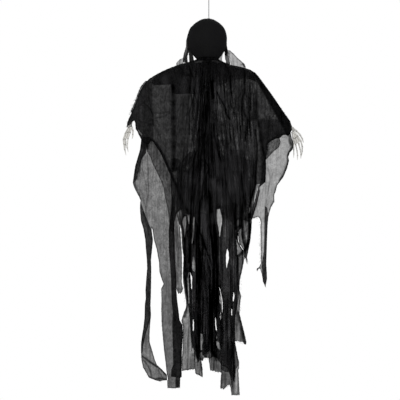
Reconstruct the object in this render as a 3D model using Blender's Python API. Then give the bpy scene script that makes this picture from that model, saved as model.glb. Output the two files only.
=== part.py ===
"""A hanging reaper figure: a hooded head on a short cord, a wire shoulder frame, two posable wire arms
with moulded skeleton hands, and torn gauze that hangs from the shoulders and from both arms.

Metres, +Z up. The origin is the top of the hanging loop. The side that a viewer sees faces -Y, the
skull looks along +Y, and left and right are the viewer's. Cloth outlines are drawn in the columns and
rows of a picture of the figure, COLUMN to the right and ROW down, and spot() turns them into metres.
"""

import math

import bmesh
import bpy
import numpy as np
from mathutils import Matrix, Vector

# Overall size, and the picture rows that carry it
FIGURE_HEIGHT = 1.5032
CROWN_ROW = 18.6
HEM_ROW = 394.4
AXIS_COLUMN = 208.8
HEAD_COLUMNS = 38
WRAP_ROW = 69.8

# Clearances and overruns
CLEAR = 0.0003
OVERRUN = 0.002

# Cord, its loop and its knots
CORD_DIAMETER = 0.0035
LOOP_HEIGHT = 0.044
LOOP_WIDTH = 0.024
KNOT_RADIUS = 0.0040
CROWN_DROP = 0.1344
CORD_SPACING = 0.008
SMALL_KNOT_RADIUS = 0.0033

# Screw eye in the crown
EYE_RADIUS = 0.0038
EYE_WIRE_RADIUS = 0.0012
EYE_SHANK = 0.026
EYE_SUNK = 0.006
POCKET_RADIUS = 0.0125

# Head, its cover and its mask
HEAD_WIDTH = 0.152
HEAD_DEPTH = 0.176
HEAD_HEIGHT = 0.168
HEAD_COLUMN = 207.4
COVER_WALL = 0.0014
MASK_WALL = 0.0030
BROW_STAND = 0.0110
SOCKET_DEPTH = 0.0125
NOSE_DEPTH = 0.0100
CHEEK_RISE = 0.0060
JAW_RISE = 0.0065
TOOTH_RISE = 0.0022
TEETH = 8

# Neck post, gathered collar and its tie
POST_RADIUS = 0.0125
POST_WALL = 0.0020
POST_SOCKET = 0.045
POST_BELOW = 0.062
COLLAR_RADIUS = 0.0300
COLLAR_RUFFLE = 0.0030
COLLAR_HEIGHT = 0.026
COLLAR_GAP = 0.0030
COLLAR_PLEATS = 10
TIE_RADIUS = 0.0022

# Shoulder wire and arm wires
WIRE_RADIUS = 0.0015
WRAP_TURNS = 1.0
WRAP_PITCH = 0.0042
WRAP_GAP = 0.0042
PIN_HALF = 0.0070

# Hands
HAND_LENGTH = 0.121
HAND_SOCKET = 0.012
PALM_WIDE = 0.0115
PALM_THICK = 0.0070
BONE_RADIUS = 0.0031
KNUCKLE_SWELL = 0.30
LEFT_PALM_DEGREES = -70
LEFT_LEAN_DEGREES = 7
RIGHT_PALM_DEGREES = 30
RIGHT_LEAN_DEGREES = -14

# Cloth: sheet thickness, spacing of the layers, folds and how far the robe stands out
CLOTH = 0.0012
LAYER = 0.0023
ROBE_DEPTH = 0.068
ROBE_FALL = 0.150
FOLD_DEPTH = 0.0050
FOLD_WIDTH = 0.120
FOLD_START = 0.070
RIDGE_DEPTH = 0.0110
RIDGE_WIDTH = 0.074
FAN_DROP = 0.300
CAPE_ROW_SHARES = [0.0, 0.06, 0.12, 0.18, 0.27, 0.40, 0.55, 0.70, 0.85, 1.0]
YOKE_ROWS = 4
PANEL_ROW_SPACING = 0.075
PANEL_COLUMN_SPACING = 0.016
NECK_HALF = 0.046
NECK_SPREAD = 0.060
ARM_HALF = 0.027
SLEEVE_HALF = 0.0205
SLEEVE_PINCH_SHARE = 0.8
DRAPE_FOLD = 0.0042
DRAPE_FOLD_WIDTH = 0.105
DRAPE_EASE = 0.150
STRIP_FOLD = 0.0020

# Places worked out from the sizes above
CORD_RADIUS = CORD_DIAMETER / 2
CROWN_Z = -CROWN_DROP
PIVOT_Z = CROWN_Z - EYE_SUNK
HEAD_BASE_Z = CROWN_Z - HEAD_HEIGHT
COLLAR_BASE_Z = HEAD_BASE_Z - COLLAR_GAP - COLLAR_HEIGHT
WRAP_Z = COLLAR_BASE_Z - WRAP_GAP - WIRE_RADIUS - WRAP_PITCH / 2
LINK_RADIUS = EYE_WIRE_RADIUS + CLEAR + CORD_RADIUS
ARM_SEAT = WIRE_RADIUS + CLOTH / 2 + 2 * CLEAR
SHOULDER_HALF = WIRE_RADIUS + CLOTH / 2 + CLEAR
SEWN = CLOTH + 1.5 * CLEAR

# A step of the picture: below the wire's turn round the post, above it, and across the head
PIXEL = (FIGURE_HEIGHT - (CROWN_Z - WRAP_Z)) / (HEM_ROW - WRAP_ROW)
HEAD_STEP = (CROWN_Z - WRAP_Z) / (WRAP_ROW - CROWN_ROW)
HEAD_PIXEL = HEAD_WIDTH / HEAD_COLUMNS


def height(row):
    """The z, in metres, of a row of the picture."""
    return WRAP_Z - (row - WRAP_ROW) * (PIXEL if row > WRAP_ROW else HEAD_STEP)


def spot(column, row):
    """The x and z, in metres, of a place in the picture."""
    return (column - AXIS_COLUMN) * PIXEL, height(row)


def head_spot(column, row):
    """The x and z of a place beside the head, which keeps to the head's width."""
    return HEAD_X + (column - HEAD_COLUMN) * HEAD_PIXEL, height(row)


HEAD_X = spot(HEAD_COLUMN, CROWN_ROW)[0]

# Columns and rows of the joints and wires
LEFT_SHOULDER = (151.5, 82)
RIGHT_SHOULDER = (256.5, 79)
SHOULDER_WIRE_LEFT = [
    (153, 80.6), (157, 76.6), (163.4, 71.6), (170, 69), (184, 68.6), (199.5, 69.6),
]
SHOULDER_WIRE_RIGHT = [
    (255, 77.6), (252, 74.2), (245, 68.9), (238, 67.8), (229, 68.4), (218, 69.6),
]
LEFT_SLEEVE_TOP = [
    (147.6, 81), (143.8, 86), (139.6, 94), (135.6, 104), (131.4, 113.5), (127.8, 121.5),
]
LEFT_SLEEVE_HEM = [
    (152, 141), (147, 140), (141.5, 138.5), (136.6, 130.5), (134.4, 122.6), (127.6, 126.6),
]
RIGHT_SLEEVE_TOP = [
    (260.4, 79.6), (266, 86.6), (273, 96.8), (280, 108), (286.4, 117.6), (290.6, 123.6),
]
RIGHT_SLEEVE_HEM = [
    (262.6, 148), (267.4, 143.6), (274, 139.4), (281.6, 136.4), (287.6, 134.6), (291.4, 130),
]
LEFT_WRIST = (130.7, 123.8)
RIGHT_WRIST = (291.3, 126.4)
LEFT_DRAPE_PIVOT = (148.6, 141)
RIGHT_DRAPE_PIVOT = (284.6, 136)

# Cross-section of a sleeve, from its crest to its hem: share of the half width, share of the drop
SLEEVE_SECTION_SHARES = [(0.0, 0.0), (0.4, 0.03), (0.8, 0.14), (1.0, 0.34), (1.0, 0.67), (1.0, 1.0)]

# Head profile: share of the height down from the crown, of the half width and of the half depth
HEAD_SHARES = [
    (0.0, 0.06, 0.06),
    (0.035, 0.34, 0.36),
    (0.13, 0.67, 0.7),
    (0.25, 0.89, 0.91),
    (0.42, 1.00, 1.00),
    (0.62, 0.99, 0.97),
    (0.74, 0.92, 0.86),
    (0.85, 0.77, 0.7),
    (0.94, 0.6, 0.54),
    (1.00, 0.48, 0.42),
]

# Shares of the head's height at which the foam and the hood have their rings, and where the hood opens
HEAD_RING_SHARES = [0.012, 0.035, 0.08, 0.15, 0.25, 0.37, 0.50, 0.62, 0.73, 0.83, 0.92, 0.985]
HEAD_TURNS = 24
SLOPE_SHARE = 0.01
FACE_SHARE = 0.25
FACE_HALF_DEGREES = 75
MASK_HALF_DEGREES = 70
CHIN_SHARE = 0.945

# Fingers: places along each digit as shares of the hand's length, across, towards the palm and down
DIGIT_SHARES = {
    "index": [
        (0.075, 0.0, 0.08), (0.125, -0.045, 0.42), (0.155, -0.02, 0.6), (0.165, 0.05, 0.78), (0.15, 0.13, 0.94),
    ],
    "middle": [
        (0.025, 0.0, 0.08), (0.04, -0.055, 0.45), (0.048, -0.03, 0.66), (0.052, 0.05, 0.85), (0.045, 0.14, 1.0),
    ],
    "ring": [
        (-0.03, 0.0, 0.08), (-0.048, -0.05, 0.43), (-0.06, -0.02, 0.62), (-0.066, 0.06, 0.81), (-0.062, 0.15, 0.95),
    ],
    "little": [
        (-0.08, 0.0, 0.1), (-0.128, -0.035, 0.39), (-0.155, 0.0, 0.54), (-0.165, 0.06, 0.68), (-0.158, 0.13, 0.8),
    ],
    "thumb": [(0.085, 0.02, 0.06), (0.165, 0.06, 0.24), (0.215, 0.11, 0.4), (0.225, 0.17, 0.55)],
}

# Cape: upper edge, lower edge behind and lower edge in front, point facing point
CAPE_TOP = [
    (147.6, 79), (152.5, 76.6), (163.4, 70.7), (177, 65.3), (190, 62.2), (200, 61.2), (208.8, 61),
    (218, 61.4), (231, 65.2), (245, 68), (252, 71.4), (257, 75.4), (261.6, 80.4),
]
CAPE_HEM = [
    (152.6, 141), (157.6, 146.5), (165.6, 160.5), (174, 180), (182.6, 199), (191, 213), (206, 206),
    (222, 210), (238, 217), (251.4, 218), (257.6, 188), (265.4, 179), (266.8, 147),
]
FRONT_HEM = [
    (152.6, 141), (157.6, 144), (165, 152), (174, 166), (183, 182), (193, 196), (206, 198),
    (220, 200), (234, 206), (247, 206), (256, 184), (263.6, 172), (266.4, 147),
]

# Robe panels and tatters: layer under the cape, the side each is sewn on by its top (-1 on the layer
# outside it, 1 on the layer inside it), left edge and right edge, point facing point
BACK_PANELS = {
    "tatter_left_outer": (
        1, -1,
        [(169.5, 148), (173, 200), (176.6, 240), (178.2, 286)],
        [(178.5, 148), (182, 200), (184.2, 240), (183.2, 291)],
    ),
    "tatter_left_inner": (
        2, -1,
        [(178, 170), (182.5, 214), (185.6, 255), (186.4, 290), (183, 312), (182.4, 370)],
        [(192, 170), (195, 214), (197, 255), (196.6, 290), (195.4, 312), (194.6, 368)],
    ),
    "robe_centre_left": (
        1, -1,
        [(190, 128), (193.4, 220), (195, 300), (195.6, 345), (198.4, 370)],
        [(205, 128), (206.4, 220), (206, 300), (204.4, 340), (202.7, 376)],
    ),
    "robe_centre": (
        2, -1,
        [(202.6, 150), (203, 220), (204, 300), (203.4, 354)],
        [(222, 150), (222.4, 220), (221, 300), (217, 360)],
    ),
    "flap_centre": (
        1, 1,
        [(207.6, 286), (208, 330), (208.6, 356), (212, 368)],
        [(218.6, 286), (220, 325), (221, 350), (221.4, 371.6)],
    ),
    "panel_right_long": (
        3, -1,
        [(219, 170), (220.6, 250), (221.2, 320), (221, 388)],
        [(236, 170), (237.4, 250), (238.6, 320), (239.6, 394.4)],
    ),
    "panel_right_outer": (
        2, -1,
        [(233.6, 196), (235.6, 240), (236.6, 280), (236.4, 312), (234.8, 340)],
        [(247.6, 196), (250.6, 236), (242.4, 272), (240, 314), (246, 343)],
    ),
    "tatter_right": (
        1, -1,
        [(239, 172), (240.6, 226), (243, 246), (244, 258)],
        [(250, 172), (251.6, 226), (249, 243), (246.4, 264)],
    ),
}
FRONT_PANELS = {
    "robe_front_left": (
        2, -1,
        [(180, 160), (185, 220), (187.4, 280), (186, 345)],
        [(197, 160), (199.4, 220), (200, 280), (199, 352)],
    ),
    "robe_front_centre": (
        1, -1,
        [(195.4, 138), (197, 220), (197.4, 290), (198, 358)],
        [(224, 138), (224.6, 220), (223.6, 290), (222.4, 366)],
    ),
    "robe_front_right": (
        2, -1,
        [(221, 160), (221.6, 220), (221.4, 290), (223, 380)],
        [(241, 160), (243, 220), (238.6, 290), (237.6, 384)],
    ),
}

# Drapes that hang from the arms: left edge and right edge
LEFT_DRAPE = (
    [(145.2, 139.4), (140, 152), (134.8, 169), (132.8, 181.5), (137.4, 194), (140.4, 208), (140.6, 221),
     (144.2, 232), (146.6, 252), (147, 272), (145, 302), (141.8, 336), (142.2, 360), (149, 377)],
    [(152, 140), (154.6, 153), (159, 169), (162.4, 182), (165.4, 195), (166.6, 208), (162, 222),
     (152.6, 235), (152.2, 252), (151.2, 272), (150.4, 302), (149.4, 332), (154.6, 358), (167.6, 379.4)],
)
LEFT_TAIL = (
    [(152, 204), (153, 232), (156.5, 250), (160.6, 276), (161.4, 300), (162.4, 330), (165.4, 362),
     (167.6, 388)],
    [(168, 204), (170.6, 232), (174.6, 250), (176.6, 276), (177.6, 300), (180.4, 330), (181.6, 362),
     (180.4, 388)],
)
RIGHT_DRAPE = (
    [(280.4, 133.4), (277, 146), (267.6, 160), (266, 180), (260.4, 197), (255, 214), (259.4, 222),
     (260.4, 236), (261.2, 252), (262, 268), (264.2, 284)],
    [(288.6, 132.6), (291, 148), (288.4, 157), (285.4, 172), (277, 186), (273, 201), (268.6, 215),
     (266.8, 230), (266.4, 250), (267, 268), (266.2, 285.4)],
)

# Hood strips beside the face: left edge and right edge; None stands for the side of the head
HOOD_STRIPS = {
    "hood_strip_left_outer": (0, [(184.8, 39), (182.8, 50), (178.6, 61.4)],
                              [(None, 39), (187.4, 50), (184.4, 61.6)]),
    "hood_strip_left_inner": (1, [(185.6, 46), (187.2, 53), (187.6, 58.6)],
                              [(None, 46), (191, 53), (194.4, 58.6)]),
    "hood_strip_right": (0, [(None, 45), (225.6, 53), (225.2, 60.6)],
                         [(229.4, 46.4), (229, 54), (229.6, 61.4)]),
    "hood_flap_left": (-1, [(181.4, 54), (179.6, 58), (177, 61.4)],
                       [(185, 54), (184.6, 58), (183, 62)]),
    "hood_flap_right": (1, [(227.2, 50), (227.6, 56), (230.6, 62.4)],
                        [(230.6, 51.6), (239, 58.6), (244.6, 66)]),
}

# Colours: red, green, blue, roughness, metallic
FINISHES = {
    "cord": (0.12, 0.12, 0.12, 0.8, 0.0),
    "steel": (0.55, 0.55, 0.56, 0.35, 1.0),
    "foam": (0.75, 0.74, 0.70, 0.8, 0.0),
    "bone": (0.78, 0.75, 0.68, 0.55, 0.0),
    "hood_cloth": (0.012, 0.012, 0.013, 0.85, 0.0),
    "gauze": (0.020, 0.019, 0.020, 0.9, 0.0),
    "post": (0.03, 0.03, 0.03, 0.5, 0.0),
    "tie": (0.02, 0.02, 0.02, 0.8, 0.0),
}


def material(name, finish):
    made = bpy.data.materials.new(name)
    made.use_nodes = True
    shader = made.node_tree.nodes["Principled BSDF"]
    red, green, blue, roughness, metallic = FINISHES[finish]
    shader.inputs["Base Color"].default_value = (red, green, blue, 1.0)
    shader.inputs["Roughness"].default_value = roughness
    shader.inputs["Metallic"].default_value = metallic
    return made


def add_object(name, mesh, finish, angle=40.0, pivot=None):
    """A named object with its own material; its origin is moved to the pivot where it has one."""
    mesh.name = name
    if pivot is not None:
        mesh.transform(Matrix.Translation(-Vector(pivot)))
    thing = bpy.data.objects.new(name, mesh)
    if pivot is not None:
        thing.location = pivot
    mesh.materials.clear()
    mesh.materials.append(material(name, finish))
    mesh.shade_smooth()
    mesh.set_sharp_from_angle(angle=math.radians(angle))
    bpy.context.scene.collection.objects.link(thing)
    return thing


def to_mesh(bm):
    bmesh.ops.recalc_face_normals(bm, faces=bm.faces)
    mesh = bpy.data.meshes.new("shape")
    bm.to_mesh(mesh)
    bm.free()
    return mesh


def combined(base, others, operation="UNION"):
    """The base mesh joined with, or cut by, each of the others."""
    scene = bpy.context.scene
    held = bpy.data.objects.new("held", base)
    scene.collection.objects.link(held)
    tools = []
    for other in others:
        tool = bpy.data.objects.new("tool", other)
        scene.collection.objects.link(tool)
        cut = held.modifiers.new("cut", "BOOLEAN")
        cut.operation = operation
        cut.object = tool
        tools.append(tool)
    bpy.context.view_layer.update()
    graph = bpy.context.evaluated_depsgraph_get()
    made = bpy.data.meshes.new_from_object(held.evaluated_get(graph))
    for gone in [held, *tools]:
        bpy.data.objects.remove(gone)
    return made


def smooth_points(points, count):
    """A smooth curve through the given points, as count places along it."""
    known = np.array(points, float)
    ends = np.vstack([2 * known[0] - known[1], known, 2 * known[-1] - known[-2]])
    found = []
    for step in np.linspace(0, len(known) - 1, count):
        k = min(int(step), len(known) - 2)
        t = step - k
        a, b, c, d = ends[k : k + 4]
        found.append(
            0.5 * (2 * b + (c - a) * t + (2 * a - 5 * b + 4 * c - d) * t**2 + (3 * b - a - 3 * c + d) * t**3)
        )
    return np.array(found)


def tube(points, radii, sides=10, closed=False):
    """A round tube along the points, with a radius at each."""
    path = [Vector(p) for p in points]
    count = len(path)
    radii = [radii] * count if isinstance(radii, float) else radii
    bm = bmesh.new()
    rings = []
    normal = None
    for i, p in enumerate(path):
        before = path[i - 1] if i or closed else p
        after = path[(i + 1) % count] if i < count - 1 or closed else p
        along = (after - before).normalized()
        if normal is None:
            normal = along.orthogonal().normalized()
        normal = (normal - along * normal.dot(along)).normalized()
        other = along.cross(normal)
        ring = []
        for s in range(sides):
            turn = 2 * math.pi * s / sides
            ring.append(bm.verts.new(p + radii[i] * (math.cos(turn) * normal + math.sin(turn) * other)))
        rings.append(ring)
    pairs = list(zip(rings, rings[1:]))
    if closed:
        pairs.append((rings[-1], rings[0]))
    for a, b in pairs:
        for s in range(sides):
            n = (s + 1) % sides
            bm.faces.new((a[s], a[n], b[n], b[s]))
    if not closed:
        bm.faces.new(rings[0][::-1])
        bm.faces.new(rings[-1])
    return to_mesh(bm)


def circle(centre, radius, axis, count, start=0.0):
    """Places on a circle about an axis, X, Y or Z."""
    places = []
    for i in range(count):
        turn = start + 2 * math.pi * i / count
        a, b = radius * math.cos(turn), radius * math.sin(turn)
        offset = {"X": (0, a, b), "Y": (a, 0, b), "Z": (a, b, 0)}[axis]
        places.append(Vector(centre) + Vector(offset))
    return places


def ball(centre, radius, stretch=(1, 1, 1), turns=10, rings=7):
    bm = bmesh.new()
    bmesh.ops.create_uvsphere(bm, u_segments=turns, v_segments=rings, radius=radius)
    bmesh.ops.scale(bm, vec=stretch, verts=bm.verts)
    bmesh.ops.translate(bm, vec=centre, verts=bm.verts)
    return to_mesh(bm)


def stacked(rings, close_ends=True):
    """A closed skin through rings of the same count, from the first to the last."""
    bm = bmesh.new()
    made = [[bm.verts.new(p) for p in ring] for ring in rings]
    for a, b in zip(made, made[1:]):
        for s in range(len(a)):
            n = (s + 1) % len(a)
            bm.faces.new((a[s], a[n], b[n], b[s]))
    if close_ends:
        bm.faces.new(made[0][::-1])
        bm.faces.new(made[-1])
    return to_mesh(bm)


def sheet(name, grid, thickness=CLOTH, finish="gauze", pivot=None):
    """A piece of cloth: a grid of points, rows down and columns across, given its thickness."""
    bm = bmesh.new()
    verts = [[bm.verts.new(p) for p in row] for row in grid]
    for upper, lower in zip(verts, verts[1:]):
        for a, b, c, d in zip(upper, upper[1:], lower[1:], lower):
            bm.faces.new((a, d, c, b))
    mesh = bpy.data.meshes.new(name)
    bm.to_mesh(mesh)
    bm.free()
    thing = add_object(name, mesh, finish, 80.0, pivot)
    wall = thing.modifiers.new("cloth", "SOLIDIFY")
    wall.thickness = thickness
    wall.offset = 0.0
    wall.use_even_offset = False
    return thing


def ruled(left, right, rows, columns):
    """Picture places between two edges, as rows from the first points of the edges to the last."""
    a, b = smooth_points(left, rows), smooth_points(right, rows)
    across = np.linspace(0, 1, columns)[None, :, None]
    return a[:, None, :] * (1 - across) + b[:, None, :] * across


def eased(value):
    """0 below 0, 1 above 1 and smooth between."""
    value = min(max(value, 0.0), 1.0)
    return value * value * (3 - 2 * value)


def head_half(share):
    """Half the width and half the depth of the hood at a share of the head's height below the crown."""
    fine = smooth_points(HEAD_SHARES, 61)
    wide = float(np.interp(share, fine[:, 0], fine[:, 1]))
    deep = float(np.interp(share, fine[:, 0], fine[:, 2]))
    return wide * HEAD_WIDTH / 2, deep * HEAD_DEPTH / 2


def head_place(share, turn, outward):
    """A place on the head, turned from the face (0) towards +X, standing outward from the hood's skin."""
    wide, deep = head_half(share)
    below = min(1.0, share + SLOPE_SHARE)
    above = max(0.0, share - SLOPE_SHARE)
    growth = (sum(head_half(below)) - sum(head_half(above))) / 2
    lean = math.hypot(growth, (below - above) * HEAD_HEIGHT)
    side, up = outward * (below - above) * HEAD_HEIGHT / lean, outward * growth / lean
    z = CROWN_Z - share * HEAD_HEIGHT + up
    return Vector((HEAD_X + (wide + side) * math.sin(turn), (deep + side) * math.cos(turn), z))


def top_depth(x):
    """How far from the middle plane the cape's upper edge lies: wide round the neck and over the sleeves."""
    at_neck = NECK_HALF * math.exp(-((x / NECK_SPREAD) ** 2))
    left = spot(*LEFT_SHOULDER)[0]
    right = spot(*RIGHT_SHOULDER)[0]
    reach = (right - left) / 9
    at_arm = max(eased((left + reach - x) / reach), eased((x - right + reach) / reach))
    return max(at_neck, SHOULDER_HALF + (ARM_HALF - SHOULDER_HALF) * at_arm)


def shoulder_z(x):
    """The height of the shoulder line over a place."""
    line = [spot(*p) for p in CAPE_TOP]
    return float(np.interp(x, [p[0] for p in line], [p[1] for p in line]))


def fan(z):
    """How far the folds have spread, from the neck down."""
    drop = max(0.0, HEAD_BASE_Z - z)
    return 0.45 + 0.55 * eased(drop / FAN_DROP)


def robe_depth(x, z):
    """The depth of the cape's own layer, with the folds that all layers share."""
    drop = max(0.0, shoulder_z(x) - z)
    top = top_depth(x)
    base = top + (ROBE_DEPTH - top) * math.sin(math.pi / 2 * min(1.0, drop / ROBE_FALL) ** 1.5)
    spread = fan(z)
    wave = math.sin(2 * math.pi * x / spread / FOLD_WIDTH)
    return base + FOLD_DEPTH * eased(drop / FOLD_START) * spread * wave


def layer_depth(x, z, outside):
    """The depth of a layer that lies so far outside (or, below zero, inside) the cape's own layer."""
    step = CLOTH
    here = robe_depth(x, z)
    slope_x = (robe_depth(x + step, z) - robe_depth(x - step, z)) / (2 * step)
    slope_z = (robe_depth(x, z + step) - robe_depth(x, z - step)) / (2 * step)
    return here + outside * math.sqrt(1 + slope_x**2 + slope_z**2)


def ridge(x, z):
    """The cape's own deeper folds, which only stand outward and start below the yoke."""
    drop = max(0.0, shoulder_z(x) - z)
    wave = math.sin(2 * math.pi * x / fan(z) / RIDGE_WIDTH)
    return RIDGE_DEPTH * eased(drop / ROBE_FALL - 0.5) * max(0.0, wave) ** 2


def clear_scene():
    for thing in list(bpy.data.objects):
        bpy.data.objects.remove(thing)


def make_knot(centre, radius):
    """A tied knot: a ball of cord with two turns lying over it."""
    body = ball(centre, radius, (1, 1, 1.1))
    turns = []
    for lean in (-1, 1):
        ring = [
            Vector(centre) + Matrix.Rotation(lean * math.radians(38), 3, "Y") @ (p - Vector(centre))
            for p in circle(centre, radius * 0.82, "Z", 12)
        ]
        turns.append(tube(ring, radius * 0.42, 6, closed=True))
    return combined(body, turns)


def make_hanger():
    """The loop that goes over a hook, the cord, and the small loop that is tied through the screw eye."""
    middle = -LOOP_HEIGHT / 2
    across, up = LOOP_WIDTH / 2 - CORD_RADIUS, LOOP_HEIGHT / 2 - CORD_RADIUS
    ring = []
    for i in range(20):
        turn = 2 * math.pi * i / 20
        narrow = 0.5 + 0.5 * eased(0.5 + 0.5 * math.sin(turn) + 0.2)
        ring.append((across * math.cos(turn) * narrow, 0, middle + up * math.sin(turn)))
    loop = tube(ring, CORD_RADIUS, 8, closed=True)
    knot_z = -LOOP_HEIGHT - KNOT_RADIUS + CORD_DIAMETER
    add_object("hang_loop", combined(loop, [make_knot((0, 0, knot_z), KNOT_RADIUS)]), "cord")

    small_z = PIVOT_Z + LINK_RADIUS + SMALL_KNOT_RADIUS
    link = tube(circle((0, 0, PIVOT_Z), LINK_RADIUS, "X", 14), CORD_RADIUS, 8, closed=True)
    knot = make_knot((0, 0, small_z), SMALL_KNOT_RADIUS)
    add_object("eye_knot", combined(link, [knot]), "cord")

    top = knot_z - KNOT_RADIUS * 1.1 - CLEAR * 2
    bottom = small_z + SMALL_KNOT_RADIUS * 1.1 + CLEAR * 2
    count = max(2, round((top - bottom) / CORD_SPACING) + 1)
    line = bpy.data.curves.new("hang_cord", "CURVE")
    line.dimensions = "3D"
    line.bevel_depth = CORD_RADIUS
    line.bevel_resolution = 2
    line.use_fill_caps = True
    spline = line.splines.new("POLY")
    spline.points.add(count - 1)
    for point, z in zip(spline.points, np.linspace(top, bottom, count)):
        point.co = (0, 0, z, 1)
    line.materials.append(material("hang_cord", "cord"))
    bpy.context.scene.collection.objects.link(bpy.data.objects.new("hang_cord", line))


def make_eye():
    """The screw eye: a ring of wire on a shank that goes into the crown."""
    centre = (0, 0, PIVOT_Z - EYE_RADIUS)
    ring = tube(circle(centre, EYE_RADIUS, "Y", 16), EYE_WIRE_RADIUS, 8, closed=True)
    top = centre[2] - EYE_RADIUS
    shank = tube([(0, 0, top), (0, 0, top - EYE_SHANK)], EYE_WIRE_RADIUS, 8)
    pivot = (0, 0, PIVOT_Z)
    add_object("hanging_eye", combined(ring, [shank]), "steel", pivot=pivot)


def make_head_core():
    """The foam head: an egg that narrows to the neck, with a pocket for the eye and a socket for the post."""
    inset = -(COVER_WALL + CLEAR)
    rings = []
    for share in [0.0, *HEAD_RING_SHARES, 1.0]:
        rings.append([head_place(share, 2 * math.pi * s / HEAD_TURNS, inset) for s in range(HEAD_TURNS)])
    core = stacked(rings)
    pocket = ball((0, 0, PIVOT_Z), POCKET_RADIUS, turns=16, rings=8)
    chimney = tube([(0, 0, PIVOT_Z), (0, 0, CROWN_Z + OVERRUN)], POCKET_RADIUS, 16)
    shank_top = PIVOT_Z - 2 * EYE_RADIUS
    hole = tube(
        [(0, 0, shank_top), (0, 0, shank_top - EYE_SHANK - CLEAR)], EYE_WIRE_RADIUS + CLEAR, 8
    )
    socket = tube(
        [(0, 0, HEAD_BASE_Z - OVERRUN), (0, 0, HEAD_BASE_Z + POST_SOCKET + CLEAR)], POST_RADIUS + CLEAR, 20
    )
    add_object("head_core", combined(core, [pocket, chimney, hole, socket], "DIFFERENCE"), "foam")


def make_head_cover():
    """The black hood, sewn close round the back of the head and open over the face."""
    bm = bmesh.new()
    rows = []
    for share in HEAD_RING_SHARES:
        places = [head_place(share, 2 * math.pi * s / HEAD_TURNS, -COVER_WALL / 2) for s in range(HEAD_TURNS)]
        rows.append([bm.verts.new(p) for p in places])
    for share, a, b in zip(HEAD_RING_SHARES, rows, rows[1:]):
        for s in range(HEAD_TURNS):
            middle = 2 * math.pi * (s + 0.5) / HEAD_TURNS
            facing = min(middle, 2 * math.pi - middle)
            if share >= FACE_SHARE and facing < math.radians(FACE_HALF_DEGREES):
                continue
            n = (s + 1) % HEAD_TURNS
            bm.faces.new((a[s], b[s], b[n], a[n]))
    loose = [v for v in bm.verts if not v.link_faces]
    bmesh.ops.delete(bm, geom=loose, context="VERTS")
    mesh = bpy.data.meshes.new("head_cover")
    bm.to_mesh(mesh)
    bm.free()
    thing = add_object("head_cover", mesh, "hood_cloth", 60.0)
    wall = thing.modifiers.new("cloth", "SOLIDIFY")
    wall.thickness = COVER_WALL
    wall.offset = 0.0


def mask_relief(share, turn):
    """How far the skull mask stands out from the foam: brow, sockets, nose, cheekbones, teeth and jaw."""
    side = abs(turn)

    def bump(at, wide, row, tall):
        across = (side - math.radians(at)) / math.radians(wide)
        return math.exp(-(across**2) - ((share - row) / tall) ** 2)

    out = BROW_STAND * (0.55 + 0.45 * math.cos(min(side * 1.2, math.pi / 2)))
    out += 0.35 * BROW_STAND * bump(20, 20, 0.37, 0.05)
    out -= SOCKET_DEPTH * bump(24, 12, 0.49, 0.072) ** 0.7
    out -= NOSE_DEPTH * bump(4, 6.5, 0.655, 0.050)
    out += 0.5 * CHEEK_RISE * bump(0, 5, 0.555, 0.05)
    out += CHEEK_RISE * bump(42, 14, 0.62, 0.05)
    out -= CHEEK_RISE * bump(46, 15, 0.76, 0.07)
    out += JAW_RISE * bump(0, 24, 0.82, 0.10)
    out += JAW_RISE * 0.8 * bump(0, 22, 0.97, 0.05)
    if side < math.radians(30):
        tooth = abs(math.sin(turn / math.radians(60) * math.pi * TEETH))
        out += TOOTH_RISE * (tooth - 0.4) * math.exp(-(((share - 0.835) / 0.050) ** 4))
        out -= TOOTH_RISE * 1.4 * math.exp(-(((share - 0.838) / 0.009) ** 2))
    return max(out, MASK_WALL)


def make_mask():
    """The moulded skull face, a shell whose rim sits on the foam inside the hood's opening."""
    inner = CLEAR - COVER_WALL
    half = math.radians(MASK_HALF_DEGREES)
    rows, columns = 23, 25
    first = FACE_SHARE + 4 * CLEAR / HEAD_HEIGHT
    outer_grid, inner_grid = [], []
    for r in range(rows):
        share = first + (CHIN_SHARE - first) * r / (rows - 1)
        outer_row, inner_row = [], []
        for c in range(columns):
            turn = half * (2 * c / (columns - 1) - 1)
            edge = min(1.0, 5 * (1 - abs(turn) / half)) * min(1.0, 5 * r / (rows - 1))
            stand = MASK_WALL + (mask_relief(share, turn) - MASK_WALL) * math.sqrt(max(edge, 0.0))
            outer_row.append(head_place(share, turn, inner + stand))
            inner_row.append(head_place(share, turn, inner + stand - MASK_WALL))
        outer_grid.append(outer_row)
        inner_grid.append(inner_row)
    bm = bmesh.new()
    front = [[bm.verts.new(p) for p in row] for row in outer_grid]
    back = [[bm.verts.new(p) for p in row] for row in inner_grid]
    for a, b in zip(front, front[1:]):
        for c in range(columns - 1):
            bm.faces.new((a[c], a[c + 1], b[c + 1], b[c]))
    for a, b in zip(back, back[1:]):
        for c in range(columns - 1):
            bm.faces.new((a[c], b[c], b[c + 1], a[c + 1]))
    for r in range(rows - 1):
        bm.faces.new((front[r][0], front[r + 1][0], back[r + 1][0], back[r][0]))
        bm.faces.new((front[r + 1][-1], front[r][-1], back[r][-1], back[r + 1][-1]))
    for c in range(columns - 1):
        bm.faces.new((front[0][c + 1], front[0][c], back[0][c], back[0][c + 1]))
        bm.faces.new((front[-1][c], front[-1][c + 1], back[-1][c + 1], back[-1][c]))
    add_object("skull_mask", to_mesh(bm), "bone", 50.0)


def beside_head(side, row):
    """The column that lies just outside the hood at a row, on the left (-1) or the right (1)."""
    wide, _ = head_half((CROWN_Z - height(row)) / HEAD_HEIGHT)
    return HEAD_COLUMN + side * (wide + 1.5 * CLEAR) / HEAD_PIXEL


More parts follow.
